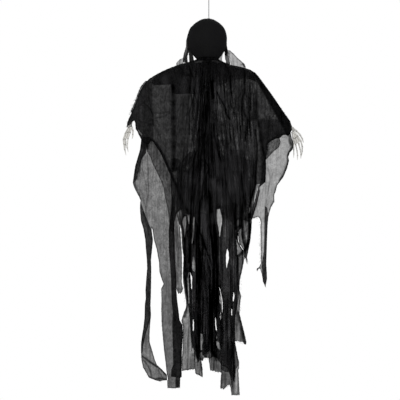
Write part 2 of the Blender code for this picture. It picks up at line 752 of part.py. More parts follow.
def make_hood_strips():
    """Gauze strips and two small flaps that hang from the rim of the hood, beside the neck."""
    for name, (layer, left, right) in HOOD_STRIPS.items():
        edges = []
        for side, edge in ((1, left), (-1, right)):
            places = []
            for column, row in edge:
                places.append((beside_head(side, row) if column is None else column, row))
            edges.append(places)
        grid = []
        for r, row in enumerate(ruled(*edges, 6, 4)):
            line = []
            y = layer * (SEWN + (LAYER - SEWN) * r / 5)
            for c, place in enumerate(row):
                x, z = head_spot(*place)
                line.append((x, y + STRIP_FOLD * layer * math.sin(math.pi * c / 3) * r / 5, z))
            grid.append(line)
        sheet(name, grid)


def make_neck():
    """The post that holds the head over the shoulders, the gathered collar round it and the tie."""
    count = 20
    top, bottom = HEAD_BASE_Z + POST_SOCKET, HEAD_BASE_Z - POST_BELOW
    post = tube([(0, 0, top), (0, 0, bottom)], POST_RADIUS, count)
    bore = tube([(0, 0, top + OVERRUN), (0, 0, bottom - OVERRUN)], POST_RADIUS - POST_WALL, count)
    add_object("neck_post", combined(post, [bore], "DIFFERENCE"), "post")

    start = HEAD_BASE_Z - COLLAR_GAP
    hole = POST_RADIUS + CLEAR
    waist = 0.72
    turns = COLLAR_PLEATS * 4
    rings = []
    tie_z = start - COLLAR_HEIGHT * 0.5
    for share, wide in ((0.0, 0.80), (0.20, 0.86), (0.40, waist), (0.60, waist), (0.78, 0.90), (1.0, 1.0)):
        z = start - share * COLLAR_HEIGHT
        ring = []
        for s in range(turns):
            turn = 2 * math.pi * s / turns
            ruffle = COLLAR_RUFFLE * math.cos(COLLAR_PLEATS * turn) * (0.0 if wide == waist else 1.0)
            radius = COLLAR_RADIUS * wide + ruffle
            ring.append((radius * math.cos(turn), radius * math.sin(turn), z))
        rings.append(ring)
    body = stacked(rings)
    cut = tube([(0, 0, start + OVERRUN), (0, 0, start - COLLAR_HEIGHT - OVERRUN)], hole, count)
    add_object("neck_gather", combined(body, [cut], "DIFFERENCE"), "gauze", 70.0)

    tie_ring = circle((0, 0, tie_z), COLLAR_RADIUS * waist + TIE_RADIUS + CLEAR, "Z", 24)
    add_object("neck_tie", tube(tie_ring, TIE_RADIUS, 6, closed=True), "tie")


def make_shoulder_wire():
    """One wire: a pin at the left arm, along the shoulder, once round the post, and out to the right pin."""
    wrap = POST_RADIUS + WIRE_RADIUS + CLEAR
    ends = []
    for shoulder, line in ((LEFT_SHOULDER, SHOULDER_WIRE_LEFT), (RIGHT_SHOULDER, SHOULDER_WIRE_RIGHT)):
        x, z = spot(*shoulder)
        inner = []
        places = smooth_points(line, 9)
        for i, place in enumerate(places):
            px, pz = spot(*place)
            near_pin = eased(1 - i / 3)
            near_post = eased(i - 7)
            inner.append((px, -PIN_HALF * near_pin - wrap * near_post, pz))
        ends.append([(x, PIN_HALF, z), (x, -PIN_HALF, z)] + inner)
    turns = 20
    helix = []
    for s in range(int(turns * WRAP_TURNS) + 1):
        turn = -math.pi / 2 + 2 * math.pi * s / turns
        helix.append((wrap * math.cos(turn), wrap * math.sin(turn), WRAP_Z - WRAP_PITCH * (s / turns - 0.5)))
    path = ends[0] + helix + ends[1][::-1]
    add_object("shoulder_wire", tube(path, WIRE_RADIUS, 6), "steel")


def arm_path(shoulder, crest, wrist):
    """The arm wire's line: from the shoulder pin, under the crest of the sleeve, to the wrist."""
    pin_x, pin_z = spot(*shoulder)
    wrist_x, wrist_z = spot(*wrist)
    outward = 1 if wrist_x > pin_x else -1
    under = []
    for a, b in zip(crest[:-2], crest[1:-1]):
        (ax, az), (bx, bz) = spot(*a), spot(*b)
        along = Vector((bx - ax, 0, bz - az)).normalized()
        inward = Vector((along.z, 0, -along.x)) * outward
        middle = Vector(((ax + bx) / 2, 0, (az + bz) / 2))
        under.append(middle + inward * ARM_SEAT)
    return Vector((pin_x, 0, pin_z)), [*under, Vector((wrist_x, 0, wrist_z))]


def make_arm(side, shoulder, crest, hem, wrist_spot, turn_palm, lean):
    """An arm wire that turns on its shoulder pin, the sleeve that hangs over it, and the hand on its end."""
    top, low = smooth_points(crest, 7), smooth_points(hem, 7)
    pin, under = arm_path(shoulder, top, wrist_spot)
    eye = WIRE_RADIUS * 2 + CLEAR
    toward = (under[0] - pin).normalized()
    wrist = under[-1]
    along = (under[-1] - under[-2]).normalized()
    tip = wrist + along * HAND_SOCKET
    ring = tube(circle(pin, eye, "Y", 14), WIRE_RADIUS, 6, closed=True)
    rod = tube([pin + toward * eye, *under, tip], WIRE_RADIUS, 6)
    add_object(f"{side}_arm_wire", combined(ring, [rod]), "steel", pivot=pin)

    section = SLEEVE_SECTION_SHARES
    profile = [(-wide, drop) for wide, drop in section[::-1]] + section[1:]
    grid = []
    for a, b in zip(top, low):
        (ax, az), (bx, bz) = spot(*a), spot(*b)
        drop_length = math.hypot(bx - ax, bz - az)
        half = min(SLEEVE_HALF, SLEEVE_PINCH_SHARE * drop_length)
        grid.append([(ax + (bx - ax) * drop, half * wide, az + (bz - az) * drop) for wide, drop in profile])
    if side == "right":
        grid = grid[::-1]
    sheet(f"{side}_sleeve", grid, pivot=pin)
    make_hand(f"{side}_hand", wrist, along, turn_palm, lean)


def bone_tube(places):
    """One digit as a chain of bones: each bone is thinner in its middle than at its ends."""
    path, radii = [], []
    count = len(places)
    for k, (a, b) in enumerate(zip(places, places[1:])):
        taper_a = 1.12 - 0.42 * k / (count - 1)
        taper_b = 1.12 - 0.42 * (k + 1) / (count - 1)
        for share in (0.0, 0.25, 0.75):
            swell = 1 + KNUCKLE_SWELL * (1 if share == 0.0 else 0)
            taper = taper_a + (taper_b - taper_a) * share
            path.append(a + (b - a) * share)
            radii.append(BONE_RADIUS * taper * swell)
    path.append(places[-1])
    radii.append(BONE_RADIUS * 0.62)
    path.append(places[-1] + (places[-1] - places[-2]).normalized() * BONE_RADIUS)
    radii.append(BONE_RADIUS * 0.28)
    return tube(path, radii, 6)


def make_hand(name, wrist, along, turn_palm, lean):
    """A moulded skeleton hand: wrist bones round the arm wire, five digits, fingers hanging down."""
    frame = Matrix.Rotation(lean, 3, "Y") @ Matrix.Rotation(turn_palm, 3, "Z")
    across, palm, down = (frame @ Vector(axis) for axis in ((1, 0, 0), (0, 1, 0), (0, 0, -1)))
    root = wrist + along * HAND_SOCKET * 0.5

    def place(share):
        return root + (across * share[0] + palm * share[1] + down * share[2]) * HAND_LENGTH

    bones = [bone_tube([place(s) for s in shares]) for shares in DIGIT_SHARES.values()]
    palm_rings = []
    for drop, size in ((-0.02, 0.55), (0.02, 0.82), (0.08, 1.0), (0.14, 0.92), (0.185, 0.55)):
        ring = []
        for s in range(12):
            turn = 2 * math.pi * s / 12
            ring.append(
                root
                + down * drop * HAND_LENGTH
                + across * PALM_WIDE * size * math.cos(turn)
                + palm * PALM_THICK * size * math.sin(turn)
            )
        palm_rings.append(ring)
    stub = tube([wrist, root, root + along * HAND_SOCKET], PALM_THICK * 0.72, 10)
    hand = combined(stacked(palm_rings), [stub, *bones])
    hole = tube([wrist - along * OVERRUN, wrist + along * (HAND_SOCKET + CLEAR)], WIRE_RADIUS + CLEAR, 8)
    add_object(name, combined(hand, [hole], "DIFFERENCE"), "bone", 45.0, pivot=wrist)


def outward_normals(grid):
    """The direction that each point of a grid faces, away from the middle plane."""
    places = np.array(grid, float)
    across = np.gradient(places, axis=1)
    down = np.gradient(places, axis=0)
    facing = np.cross(down, across)
    facing /= np.linalg.norm(facing, axis=2, keepdims=True)
    return facing * np.sign(facing[:, :, 1:2]) * np.sign(places[:, :, 1:2])


def make_capes():
    """The cape over the shoulders, a back and a front, each with a yoke over its upper part."""
    for side, sign, hem, columns in (("back", -1, CAPE_HEM, 29), ("front", 1, FRONT_HEM, 23)):
        upper, lower = smooth_points(CAPE_TOP, columns), smooth_points(hem, columns)
        grid = []
        for share in CAPE_ROW_SHARES:
            line = []
            for a, b in zip(upper, lower):
                x, z = spot(*(a + (b - a) * share))
                line.append((x, sign * (robe_depth(x, z) + ridge(x, z)), z))
            grid.append(line)
        yoke = (np.array(grid, float) + SEWN * outward_normals(grid))[:YOKE_ROWS, 2:-2]
        for name, cloth in ((f"cape_{side}", grid), (f"yoke_{side}", yoke.tolist())):
            sheet(name, cloth if sign < 0 else cloth[::-1])


def make_panels():
    """The long robe panels and tatters that hang under the cape, behind one another."""
    for sign, panels in ((-1, BACK_PANELS), (1, FRONT_PANELS)):
        for name, (layer, seat, left, right) in panels.items():
            width = max(b[0] - a[0] for a, b in zip(left, right)) * PIXEL
            length = (left[-1][1] - left[0][1]) * PIXEL
            rows = max(5, round(length / PANEL_ROW_SPACING))
            columns = max(4, round(width / PANEL_COLUMN_SPACING) + 1)
            places = ruled(left, right, rows, columns)
            grid = []
            for r, row in enumerate(places):
                step = layer * LAYER + (0 if r else seat * (LAYER - SEWN))
                line = []
                for place in row:
                    x, z = spot(*place)
                    line.append((x, sign * layer_depth(x, z, -step), z))
                grid.append(line)
            sheet(name, grid if sign < 0 else grid[::-1])


def drape_depth(x, z, pivot):
    """The depth of a drape: against the sleeve's back flap at its top, then near the middle plane."""
    pivot_x, pivot_z = spot(*pivot)
    ease = eased((pivot_z - z) / DRAPE_EASE)
    held = -(SLEEVE_HALF - CLOTH - CLEAR)
    return held * (1 - ease) + ease * DRAPE_FOLD * math.sin(2 * math.pi * (x - pivot_x) / DRAPE_FOLD_WIDTH)


def make_drapes():
    """Long torn pieces that hang from the sleeves, near the wrists."""
    for name, pivot, (left, right), rows, columns, layer in (
        ("left_drape", LEFT_DRAPE_PIVOT, LEFT_DRAPE, 18, 9, 0),
        ("left_drape_tail", LEFT_DRAPE_PIVOT, LEFT_TAIL, 10, 5, 1),
        ("right_drape", RIGHT_DRAPE_PIVOT, RIGHT_DRAPE, 15, 7, 0),
    ):
        grid = []
        for row in ruled(left, right, rows, columns):
            line = []
            for place in row:
                x, z = spot(*place)
                line.append((x, drape_depth(x, z, pivot) + layer * LAYER, z))
            grid.append(line)
        x, z = spot(*pivot)
        sheet(name, grid, pivot=(x, 0, z))


def main():
    clear_scene()
    make_hanger()
    make_eye()
    make_head_core()
    make_head_cover()
    make_mask()
    make_hood_strips()
    make_neck()
    make_shoulder_wire()
    left = (LEFT_SHOULDER, LEFT_SLEEVE_TOP, LEFT_SLEEVE_HEM, LEFT_WRIST)
    right = (RIGHT_SHOULDER, RIGHT_SLEEVE_TOP, RIGHT_SLEEVE_HEM, RIGHT_WRIST)
    make_arm("left", *left, math.radians(LEFT_PALM_DEGREES), math.radians(LEFT_LEAN_DEGREES))
    make_arm("right", *right, math.radians(RIGHT_PALM_DEGREES), math.radians(RIGHT_LEAN_DEGREES))
    make_capes()
    make_panels()
    make_drapes()


main()
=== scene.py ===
import math

import bmesh
import bpy
import numpy as np
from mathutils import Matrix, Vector
from mathutils.geometry import delaunay_2d_cdt


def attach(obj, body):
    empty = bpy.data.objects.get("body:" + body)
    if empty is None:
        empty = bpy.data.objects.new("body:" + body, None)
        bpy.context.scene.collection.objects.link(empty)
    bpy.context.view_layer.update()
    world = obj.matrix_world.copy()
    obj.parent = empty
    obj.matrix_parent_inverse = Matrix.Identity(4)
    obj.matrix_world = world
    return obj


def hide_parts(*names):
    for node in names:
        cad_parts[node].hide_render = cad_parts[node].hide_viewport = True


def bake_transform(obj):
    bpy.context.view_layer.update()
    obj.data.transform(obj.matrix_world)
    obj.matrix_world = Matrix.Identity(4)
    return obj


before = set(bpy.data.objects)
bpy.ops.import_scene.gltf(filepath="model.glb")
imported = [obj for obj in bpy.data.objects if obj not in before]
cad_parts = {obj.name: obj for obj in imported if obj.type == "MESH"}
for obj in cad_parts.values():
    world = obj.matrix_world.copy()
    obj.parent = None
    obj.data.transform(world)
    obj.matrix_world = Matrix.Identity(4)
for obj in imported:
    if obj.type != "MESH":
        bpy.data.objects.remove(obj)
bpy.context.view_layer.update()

# The picture's columns and rows carry the cloth's outlines; these turn them into metres
PIXEL = 0.004
AXIS_COLUMN = 208.8
TOP_ROW = -15.0
HEAD_COLUMN = 207.4


def spot(c, r):
    """The x and z, in metres, of places in the picture."""
    return (np.asarray(c, float) - AXIS_COLUMN) * PIXEL, -(np.asarray(r, float) - TOP_ROW) * PIXEL


def picture_place(x, z):
    """The column and row of places in metres: spot the other way round."""
    return AXIS_COLUMN + x / PIXEL, TOP_ROW - z / PIXEL


# ---------------------------------------------------------------- camera
DISTANCE = 16.0
FRAME_WIDTH = 1.6
SENSOR_WIDTH = 36.0
camera_data = bpy.data.cameras.new("camera")
camera_data.sensor_width = SENSOR_WIDTH
camera_data.lens = SENSOR_WIDTH * DISTANCE / FRAME_WIDTH
camera_data.clip_end = 100.0
camera = bpy.data.objects.new("camera", camera_data)
middle_x, middle_z = spot(200.0, 200.0)
camera.location = (float(middle_x), -DISTANCE, float(middle_z))
camera.rotation_euler = (math.pi / 2, 0, 0)
bpy.context.scene.collection.objects.link(camera)
bpy.context.scene.camera = camera


# ---------------------------------------------------------------- node helpers
def new_material(name):
    made = bpy.data.materials.new(name)
    made.use_nodes = True
    tree = made.node_tree
    return made, tree, tree.nodes["Principled BSDF"]


def node(tree, kind, inputs=(), **settings):
    made = tree.nodes.new(kind)
    for key, value in settings.items():
        setattr(made, key, value)
    for key, value in dict(inputs).items():
        if isinstance(value, bpy.types.NodeSocket):
            tree.links.new(value, made.inputs[key])
        else:
            made.inputs[key].default_value = value
    return made


def maths(tree, operation, a, b=0.0, clamp=False):
    return node(tree, "ShaderNodeMath", {0: a, 1: b}, operation=operation, use_clamp=clamp).outputs[0]


def ramp(tree, value, stops):
    """A colour ramp with (position, grey or colour) stops."""
    made = node(tree, "ShaderNodeValToRGB", {0: value})
    elements = made.color_ramp.elements
    while len(elements) < len(stops):
        elements.new(0.5)
    for element, (position, colour) in zip(elements, stops):
        element.position = position
        element.color = (*((colour,) * 3 if isinstance(colour, float) else colour), 1.0)
    return made.outputs[0]


def noise(tree, vector, scale, detail=3.0, roughness=0.55, distortion=0.0):
    return node(tree, "ShaderNodeTexNoise", {
        "Vector": vector, "Scale": scale, "Detail": detail, "Roughness": roughness, "Distortion": distortion,
    }).outputs[0]


def stretched(tree, vector, scale):
    return node(tree, "ShaderNodeMapping", {"Vector": vector, "Scale": scale}).outputs[0]


def bands(tree, vector, scale, distortion, direction, detail_scale=1.0):
    """Wavy bands across a direction, such as threads or plies."""
    return node(tree, "ShaderNodeTexWave", {
        "Vector": vector, "Scale": scale, "Distortion": distortion, "Detail": 2.0, "Detail Scale": detail_scale,
    }, bands_direction=direction).outputs["Fac"]


def centred(tree, value):
    """A value from 0 to 1 as one from -0.5 to 0.5."""
    return maths(tree, "SUBTRACT", value, 0.5)


def summed(tree, total, terms):
    """A value plus shares of others; each term is a value and its share."""
    for value, share in terms:
        total = maths(tree, "ADD", total, maths(tree, "MULTIPLY", value, share))
    return total


def object_place(tree):
    return node(tree, "ShaderNodeTexCoord").outputs["Object"]


def painted(tree, name):
    """The value that paint gave to the mesh."""
    return node(tree, "ShaderNodeAttribute", attribute_name=name).outputs["Fac"]


def coat(tree, shader, value, colours, rough_value, roughness):
    """Colour and roughness, each from a value by a ramp's stops."""
    tree.links.new(ramp(tree, value, colours), shader.inputs["Base Color"])
    tree.links.new(ramp(tree, rough_value, roughness), shader.inputs["Roughness"])


def relief(tree, shader, height, strength, distance):
    """A bump that follows a value; distance is how high it is, in metres, where the value is 1."""
    made = node(tree, "ShaderNodeBump", {"Height": height, "Strength": strength, "Distance": distance})
    tree.links.new(made.outputs[0], shader.inputs["Normal"])
    return made


# How much light the black cloths give back
GAUZE_SHADE = 0.0052
HOOD_SHADE = 0.0048


def gauze_material(name, clear):
    """Open cotton gauze: crossing threads, denser where it is creased, hemmed or drawn together; its colour is
    darkened there as painted shade and lightened along lit streaks as painted light.
    """
    made, tree, shader = new_material(name)
    flat = node(tree, "ShaderNodeUVMap", uv_map="flat").outputs[0]
    fanned = node(tree, "ShaderNodeUVMap", uv_map="folds").outputs[0]
    thick_and_shade, folded, light_and_shade = (painted(tree, label) for label in ("thick_and_shade", "folded", "light_and_shade"))
    weave = maths(tree, "MAXIMUM", *(bands(tree, flat, 215.0, 1.6, direction, 0.35) for direction in "XY"))
    patches = noise(tree, flat, 34.0, 5.0, 0.62)
    crumples = noise(tree, flat, 95.0, 3.0, 0.6, 1.2)
    # Streaks along the folds: the dark ones are creases, denser cloth with painted shade in them; the pale ones are
    # thinner cloth with painted light where fold ridges catch it
    streaks = noise(tree, stretched(tree, fanned, (150.0, 6.0, 1.0)), 1.0, 3.0, 0.62, 0.5)
    streaks = ramp(tree, streaks, [(0.47, 0.0), (0.56, 0.35), (0.66, 1.0)])
    pale = noise(tree, stretched(tree, fanned, (110.0, 8.0, 1.0)), 1.0, 3.0, 0.6, 0.3)
    pale = ramp(tree, pale, [(0.48, 0.0), (0.62, 1.0)])
    fine = noise(tree, stretched(tree, fanned, (420.0, 16.0, 1.0)), 1.0, 2.0, 0.5)
    ridge = noise(tree, stretched(tree, flat, (46.0, 24.0, 1.0)), 1.0, 4.0, 0.6, 1.6)
    ridge = maths(tree, "ABSOLUTE", centred(tree, ridge))
    ridge = ramp(tree, ridge, [(0.0, 1.0), (0.022, 0.5), (0.05, 0.0)])
    creases = maths(tree, "MULTIPLY", streaks, maths(tree, "ADD", folded, 0.06))
    thin_and_lit = maths(tree, "MULTIPLY", pale, folded)
    blotchy, grainy = centred(tree, patches), centred(tree, fine)
    exponent = summed(tree, 0.78, [
        (thick_and_shade, 2.4), (weave, 0.45), (blotchy, 0.9), (centred(tree, crumples), 0.7), (creases, 1.3),
        (thin_and_lit, -0.45), (grainy, 0.4), (ridge, 0.34),
    ])
    exponent = maths(tree, "MAXIMUM", exponent, 0.22)
    alpha = maths(tree, "SUBTRACT", 1.0, maths(tree, "POWER", clear, exponent), clamp=True)
    tree.links.new(alpha, shader.inputs["Alpha"])
    # The colour: dense folds, creases and crinkle ridges darken it as painted shade, lit streaks lighten it as painted
    # light, the robe's painted light and shade shifts it, and patches and grain vary it at random
    tone = summed(tree, 0.46, [
        (maths(tree, "MULTIPLY", thick_and_shade, maths(tree, "ABSOLUTE", thick_and_shade)), -1.05), (light_and_shade, 1.0), (creases, -0.60),
        (thin_and_lit, 0.42), (blotchy, 0.5), (grainy, 0.45), (ridge, -0.16),
    ])
    stops = [
        (at, (GAUZE_SHADE * k, GAUZE_SHADE * k * 0.98, GAUZE_SHADE * k * 1.02))
        for at, k in ((0.0, 0.0), (0.10, 0.07), (0.22, 0.36), (0.44, 1.0), (0.70, 2.3), (1.0, 4.6))
    ]
    coat(tree, shader, tone, stops, patches, [(0.3, 0.82), (0.7, 0.98)])
    shader.inputs["Specular IOR Level"].default_value = 0.0
    relief(tree, shader, summed(tree, creases, [(weave, 0.25)]), 0.5, 0.0012)
    return made


def cord_material(name, dark, light):
    """Twisted cord: two plies that wind along its length."""
    made, tree, shader = new_material(name)
    place = object_place(tree)
    plies = bands(tree, place, 95.0, 1.0, "DIAGONAL")
    fibres = noise(tree, place, 900.0)
    mixed = summed(tree, 0.0, [(plies, 0.7), (fibres, 0.3)])
    coat(tree, shader, mixed, [(0.1, dark), (0.8, light)], fibres, [(0.3, 0.7), (0.7, 0.9)])
    relief(tree, shader, mixed, 0.6, 0.0006)
    return made


def steel_material(name):
    """Steel wire: fine lines where it was drawn, a mottled surface."""
    made, tree, shader = new_material(name)
    place = object_place(tree)
    drawn = noise(tree, stretched(tree, place, (60.0, 900.0, 900.0)), 1.0, 3.0)
    spots = noise(tree, place, 120.0, 4.0)
    coat(tree, shader, spots, [(0.3, (0.30, 0.30, 0.31)), (0.7, (0.55, 0.55, 0.56))],
         drawn, [(0.3, 0.28), (0.7, 0.48)])
    shader.inputs["Metallic"].default_value = 1.0
    relief(tree, shader, drawn, 0.15, 0.0003)
    return made


def foam_material(name):
    """Beaded foam: round cells, the gaps between them darkened as painted shade."""
    made, tree, shader = new_material(name)
    beads = node(tree, "ShaderNodeTexVoronoi", {"Vector": object_place(tree), "Scale": 260.0}).outputs["Distance"]
    coat(tree, shader, beads, [(0.0, (0.74, 0.73, 0.70)), (0.8, (0.60, 0.59, 0.56))], beads, [(0.0, 0.75), (0.8, 0.9)])
    relief(tree, shader, beads, 0.5, 0.0008).invert = True
    return made


def bone_material(name):
    """Moulded plastic bone: off-white, brown wash left in the hollows and pores."""
    made, tree, shader = new_material(name)
    place = object_place(tree)
    pale, stained = (0.50, 0.487, 0.455), (0.12, 0.105, 0.09)
    stain = painted(tree, "stain")
    blotch = noise(tree, place, 90.0, 5.0, 0.6)
    pores = noise(tree, place, 700.0, 3.0, 0.6)
    wash = summed(tree, stain, [(centred(tree, blotch), 0.55), (centred(tree, pores), 0.25)])
    middle = tuple(0.45 * a + 0.55 * b for a, b in zip(pale, stained))
    coat(tree, shader, wash, [(0.10, pale), (0.55, middle), (0.95, stained)], wash, [(0.1, 0.48), (0.9, 0.8)])
    shader.inputs["Specular IOR Level"].default_value = 0.35
    relief(tree, shader, summed(tree, blotch, [(pores, 0.4)]), 0.35, 0.0007)
    return made


def hood_material(name):
    """Close knitted cotton: fine rows of stitches, a little lint."""
    made, tree, shader = new_material(name)
    place = object_place(tree)
    knit = maths(tree, "MULTIPLY", *(bands(tree, place, 330.0, 2.0, direction) for direction in "ZX"))
    cloud = noise(tree, place, 16.0, 4.0)
    lint = noise(tree, place, 380.0, 2.0)
    mixed = summed(tree, 0.0, [(cloud, 0.6), (lint, 0.4)])
    stops = [
        (at, tuple(HOOD_SHADE * k for k in shares))
        for at, shares in ((0.3, (0.75, 0.75, 0.78)), (0.75, (1.35, 1.33, 1.35)))
    ]
    coat(tree, shader, mixed, stops, cloud, [(0.3, 0.86), (0.7, 0.98)])
    shader.inputs["Specular IOR Level"].default_value = 0.05
    relief(tree, shader, knit, 0.4, 0.0005)
    return made


def plastic_material(name, dark=(0.02, 0.02, 0.021), light=(0.035, 0.035, 0.036)):
    """Black plastic with a fine grain."""
    made, tree, shader = new_material(name)
    grain = noise(tree, object_place(tree), 300.0, 3.0)
    coat(tree, shader, grain, [(0.3, dark), (0.7, light)], grain, [(0.3, 0.42), (0.7, 0.58)])
    relief(tree, shader, grain, 0.2, 0.0003)
    return made


CORD = cord_material("cord", (0.10, 0.10, 0.10), (0.34, 0.34, 0.34))
TIE = cord_material("tie", (0.008, 0.008, 0.008), (0.035, 0.035, 0.036))
STEEL = steel_material("steel")
FOAM = foam_material("foam")
BONE = bone_material("bone")
HOOD = hood_material("hood_cloth")
PLASTIC = plastic_material("post")
GAUZE = gauze_material("gauze", 0.235)
LIGHT_GAUZE = gauze_material("drape_gauze", 0.40)
THREAD = plastic_material("thread", (0.008, 0.008, 0.008), (0.02, 0.02, 0.02))


# ---------------------------------------------------------------- mesh helpers
def link(name, mesh, material, smooth=True):
    mesh.name = name
    thing = bpy.data.objects.new(name, mesh)
    bpy.context.scene.collection.objects.link(thing)
    mesh.materials.clear()
    mesh.materials.append(material)
    if smooth:
        mesh.shade_smooth()
    return thing


def paint(mesh, name, values):
    """A value for each vertex, for the material to read."""
    attribute = mesh.attributes.get(name) or mesh.attributes.new(name, "FLOAT", "POINT")
    attribute.data.foreach_set("value", np.asarray(values, np.float32))


def paint_map(mesh, name, places):
    """A UV map, from a place for each vertex."""
    loops = np.zeros(len(mesh.loops), int)
    mesh.loops.foreach_get("vertex_index", loops)
    mesh.uv_layers.new(name=name).data.foreach_set("uv", places[loops].astype(np.float32).ravel())


def grid_faces(rings, sides, closed=True):
    """The faces between rings of places."""
    faces = []
    for i in range(rings - 1):
        for j in range(sides if closed else sides - 1):
            k = (j + 1) % sides
            faces.append((i * sides + j, (i + 1) * sides + j, (i + 1) * sides + k, i * sides + k))
    return faces


def eased(value):
    """0 below 0, 1 above 1 and a smooth step between."""
    value = np.clip(value, 0.0, 1.0)
    return value * value * (3 - 2 * value)


def smooth_points(points, count):
    """A smooth curve through the given points, as count places along it."""
    known = np.array(points, float)
    ends = np.vstack([2 * known[0] - known[1], known, 2 * known[-1] - known[-2]])
    found = []
    for step in np.linspace(0, len(known) - 1, count):
        k = min(int(step), len(known) - 2)
        t = step - k
        a, b, c, d = ends[k : k + 4]
        found.append(
            0.5 * (2 * b + (c - a) * t + (2 * a - 5 * b + 4 * c - d) * t**2 + (3 * b - a - 3 * c + d) * t**3)
        )
    return np.array(found)


def wobble(t, seed, octaves=4):
    """A smooth wandering value from -1 to 1 along t, the same on each run."""
    made = np.random.default_rng(seed)
    total = np.zeros_like(np.asarray(t, float))
    size = 0.0  # the most that the octaves can add up to
    for k in range(octaves):
        share = 0.62**k
        total = total + share * np.sin(2 * np.pi * (t * 1.83**k + made.random())) * (0.7 + 0.3 * made.random())
        size += share
    return total / size


def tube(points, radii, sides=8, closed=False):
    """A round tube along the points, with a radius at each."""
    path = [Vector(p) for p in points]
    count = len(path)
    radii = [radii] * count if isinstance(radii, float) else radii
    bm = bmesh.new()
    rings, normal = [], None
    for i, p in enumerate(path):
        before = path[i - 1] if i or closed else p
        after = path[(i + 1) % count] if i < count - 1 or closed else p
        along = (after - before).normalized()
        if normal is None:
            normal = along.orthogonal().normalized()
        normal = (normal - along * normal.dot(along)).normalized()
        other = along.cross(normal)
        rings.append([
            bm.verts.new(p + radii[i] * (math.cos(2 * math.pi * s / sides) * normal
                                         + math.sin(2 * math.pi * s / sides) * other))
            for s in range(sides)
        ])
    pairs = list(zip(rings, rings[1:])) + ([(rings[-1], rings[0])] if closed else [])
    for a, b in pairs:
        for s in range(sides):
            n = (s + 1) % sides
            bm.faces.new((a[s], a[n], b[n], b[s]))
    if not closed:
        bm.faces.new(rings[0][::-1])
        bm.faces.new(rings[-1])
    bmesh.ops.recalc_face_normals(bm, faces=bm.faces)
    mesh = bpy.data.meshes.new("tube")
    bm.to_mesh(mesh)
    bm.free()
    return mesh


def joined(meshes):
    """Several meshes as one."""
    bm = bmesh.new()
    for mesh in meshes:
        bm.from_mesh(mesh)
        bpy.data.meshes.remove(mesh)
    made = bpy.data.meshes.new("joined")
    bm.to_mesh(made)
    bm.free()
    return made


# ---------------------------------------------------------------- cord and its loops
CORD_RADIUS = 0.00175
CORD_TOP, CORD_BOTTOM = -0.0495, -0.1296
CORD_POINTS = 16
line = bpy.data.curves.new("hang_line", "CURVE")
line.dimensions = "3D"
line.bevel_depth = CORD_RADIUS
line.bevel_resolution = 3
line.use_fill_caps = True
spline = line.splines.new("POLY")
spline.points.add(CORD_POINTS - 1)
for point, z in zip(spline.points, np.linspace(CORD_BOTTOM, CORD_TOP, CORD_POINTS)):
    point.co = (0, 0, z, 1)
line.materials.append(CORD)
hang_line = bpy.data.objects.new("hang_line", line)
bpy.context.scene.collection.objects.link(hang_line)
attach(hang_line, "hanger")
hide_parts("hang_cord")


KNOT_POINTS, LOOP_POINTS, LINK_POINTS = 90, 56, 32
LOOP_HALF_WIDTH, LOOP_HALF_HEIGHT = 0.012, 0.022


def knot_tube(centre, reach, radius):
    """An overhand knot: a tube on a trefoil, drawn tight."""
    places = []
    for i in range(KNOT_POINTS):
        t = 2 * math.pi * i / KNOT_POINTS
        places.append((
            centre[0] + reach * (math.sin(t) + 1.55 * math.sin(2 * t)) / 2.4,
            centre[1] + reach * 0.8 * (-math.sin(3 * t)) / 1.5,
            centre[2] + reach * (math.cos(t) - 1.55 * math.cos(2 * t)) / 2.4,
        ))
    return tube(places, radius, 8, closed=True)


loop_path = []
for i in range(LOOP_POINTS):
    t = 2 * math.pi * i / LOOP_POINTS
    narrow = 0.5 + 0.5 * float(eased(0.5 + 0.5 * math.sin(t) + 0.2))
    loop_path.append((
        (LOOP_HALF_WIDTH - CORD_RADIUS) * math.cos(t) * narrow, 0,
        -LOOP_HALF_HEIGHT + (LOOP_HALF_HEIGHT - CORD_RADIUS) * math.sin(t),
    ))
top_loop = link("top_loop", joined([
    tube(loop_path, CORD_RADIUS, 10, closed=True), knot_tube((0, 0, -0.0448), 0.0030, 0.00165),
]), CORD)
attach(top_loop, "hanger")
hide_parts("hang_loop")

PIVOT_Z = -0.1404
LINK_RADIUS = 0.00325
link_path = [
    (0, LINK_RADIUS * math.cos(2 * math.pi * i / LINK_POINTS),
     PIVOT_Z + LINK_RADIUS * math.sin(2 * math.pi * i / LINK_POINTS))
    for i in range(LINK_POINTS)
]
eye_loop = link("eye_loop", joined([
    tube(link_path, CORD_RADIUS, 10, closed=True), knot_tube((0, 0, PIVOT_Z + LINK_RADIUS + 0.0033), 0.0026, 0.0015),
]), CORD)
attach(eye_loop, "hanger")
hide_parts("eye_knot")


# ---------------------------------------------------------------- the cloth's shape
SHOULDER_LINE = [
    (126.5, 124), (131.3, 113), (136, 103), (139, 93.7), (143.6, 85.2), (149.7, 78.4), (156.6, 74.2),
    (163.4, 70.7), (170, 67.8), (177, 65.2), (183, 63.2), (190, 62), (196, 60.8), (208.8, 60.4), (219, 60.8),
    (226, 62.8), (231, 65), (238, 66.2), (245, 68), (252, 71), (257, 75.2), (261, 80.4), (266, 87.4),
    (272.7, 96.4), (281, 108.6), (286.5, 117), (291.6, 124),
]
SHOULDER_X, SHOULDER_Z = spot(*np.array(SHOULDER_LINE).T)
ROBE_DEPTH, SLEEVE_DEPTH = 0.068, 0.0205
# How far below the shoulder line each is as deep as that
ROBE_FALL, SLEEVE_FALL = 0.15, 0.055
LAYER_GAP = 0.0023
BACK_SEED, FRONT_SEED = 11, 23
SHOULDER_PINS = [(152.2, 81.2), (255.6, 78.0)]


def shoulder_z(x):
    return np.interp(x, SHOULDER_X, SHOULDER_Z)


def fan(z):
    """How wide the robe's large waves are open: narrow at the neck, full below it."""
    return 0.45 + 0.55 * eased((-0.3024 - z) / 0.3)


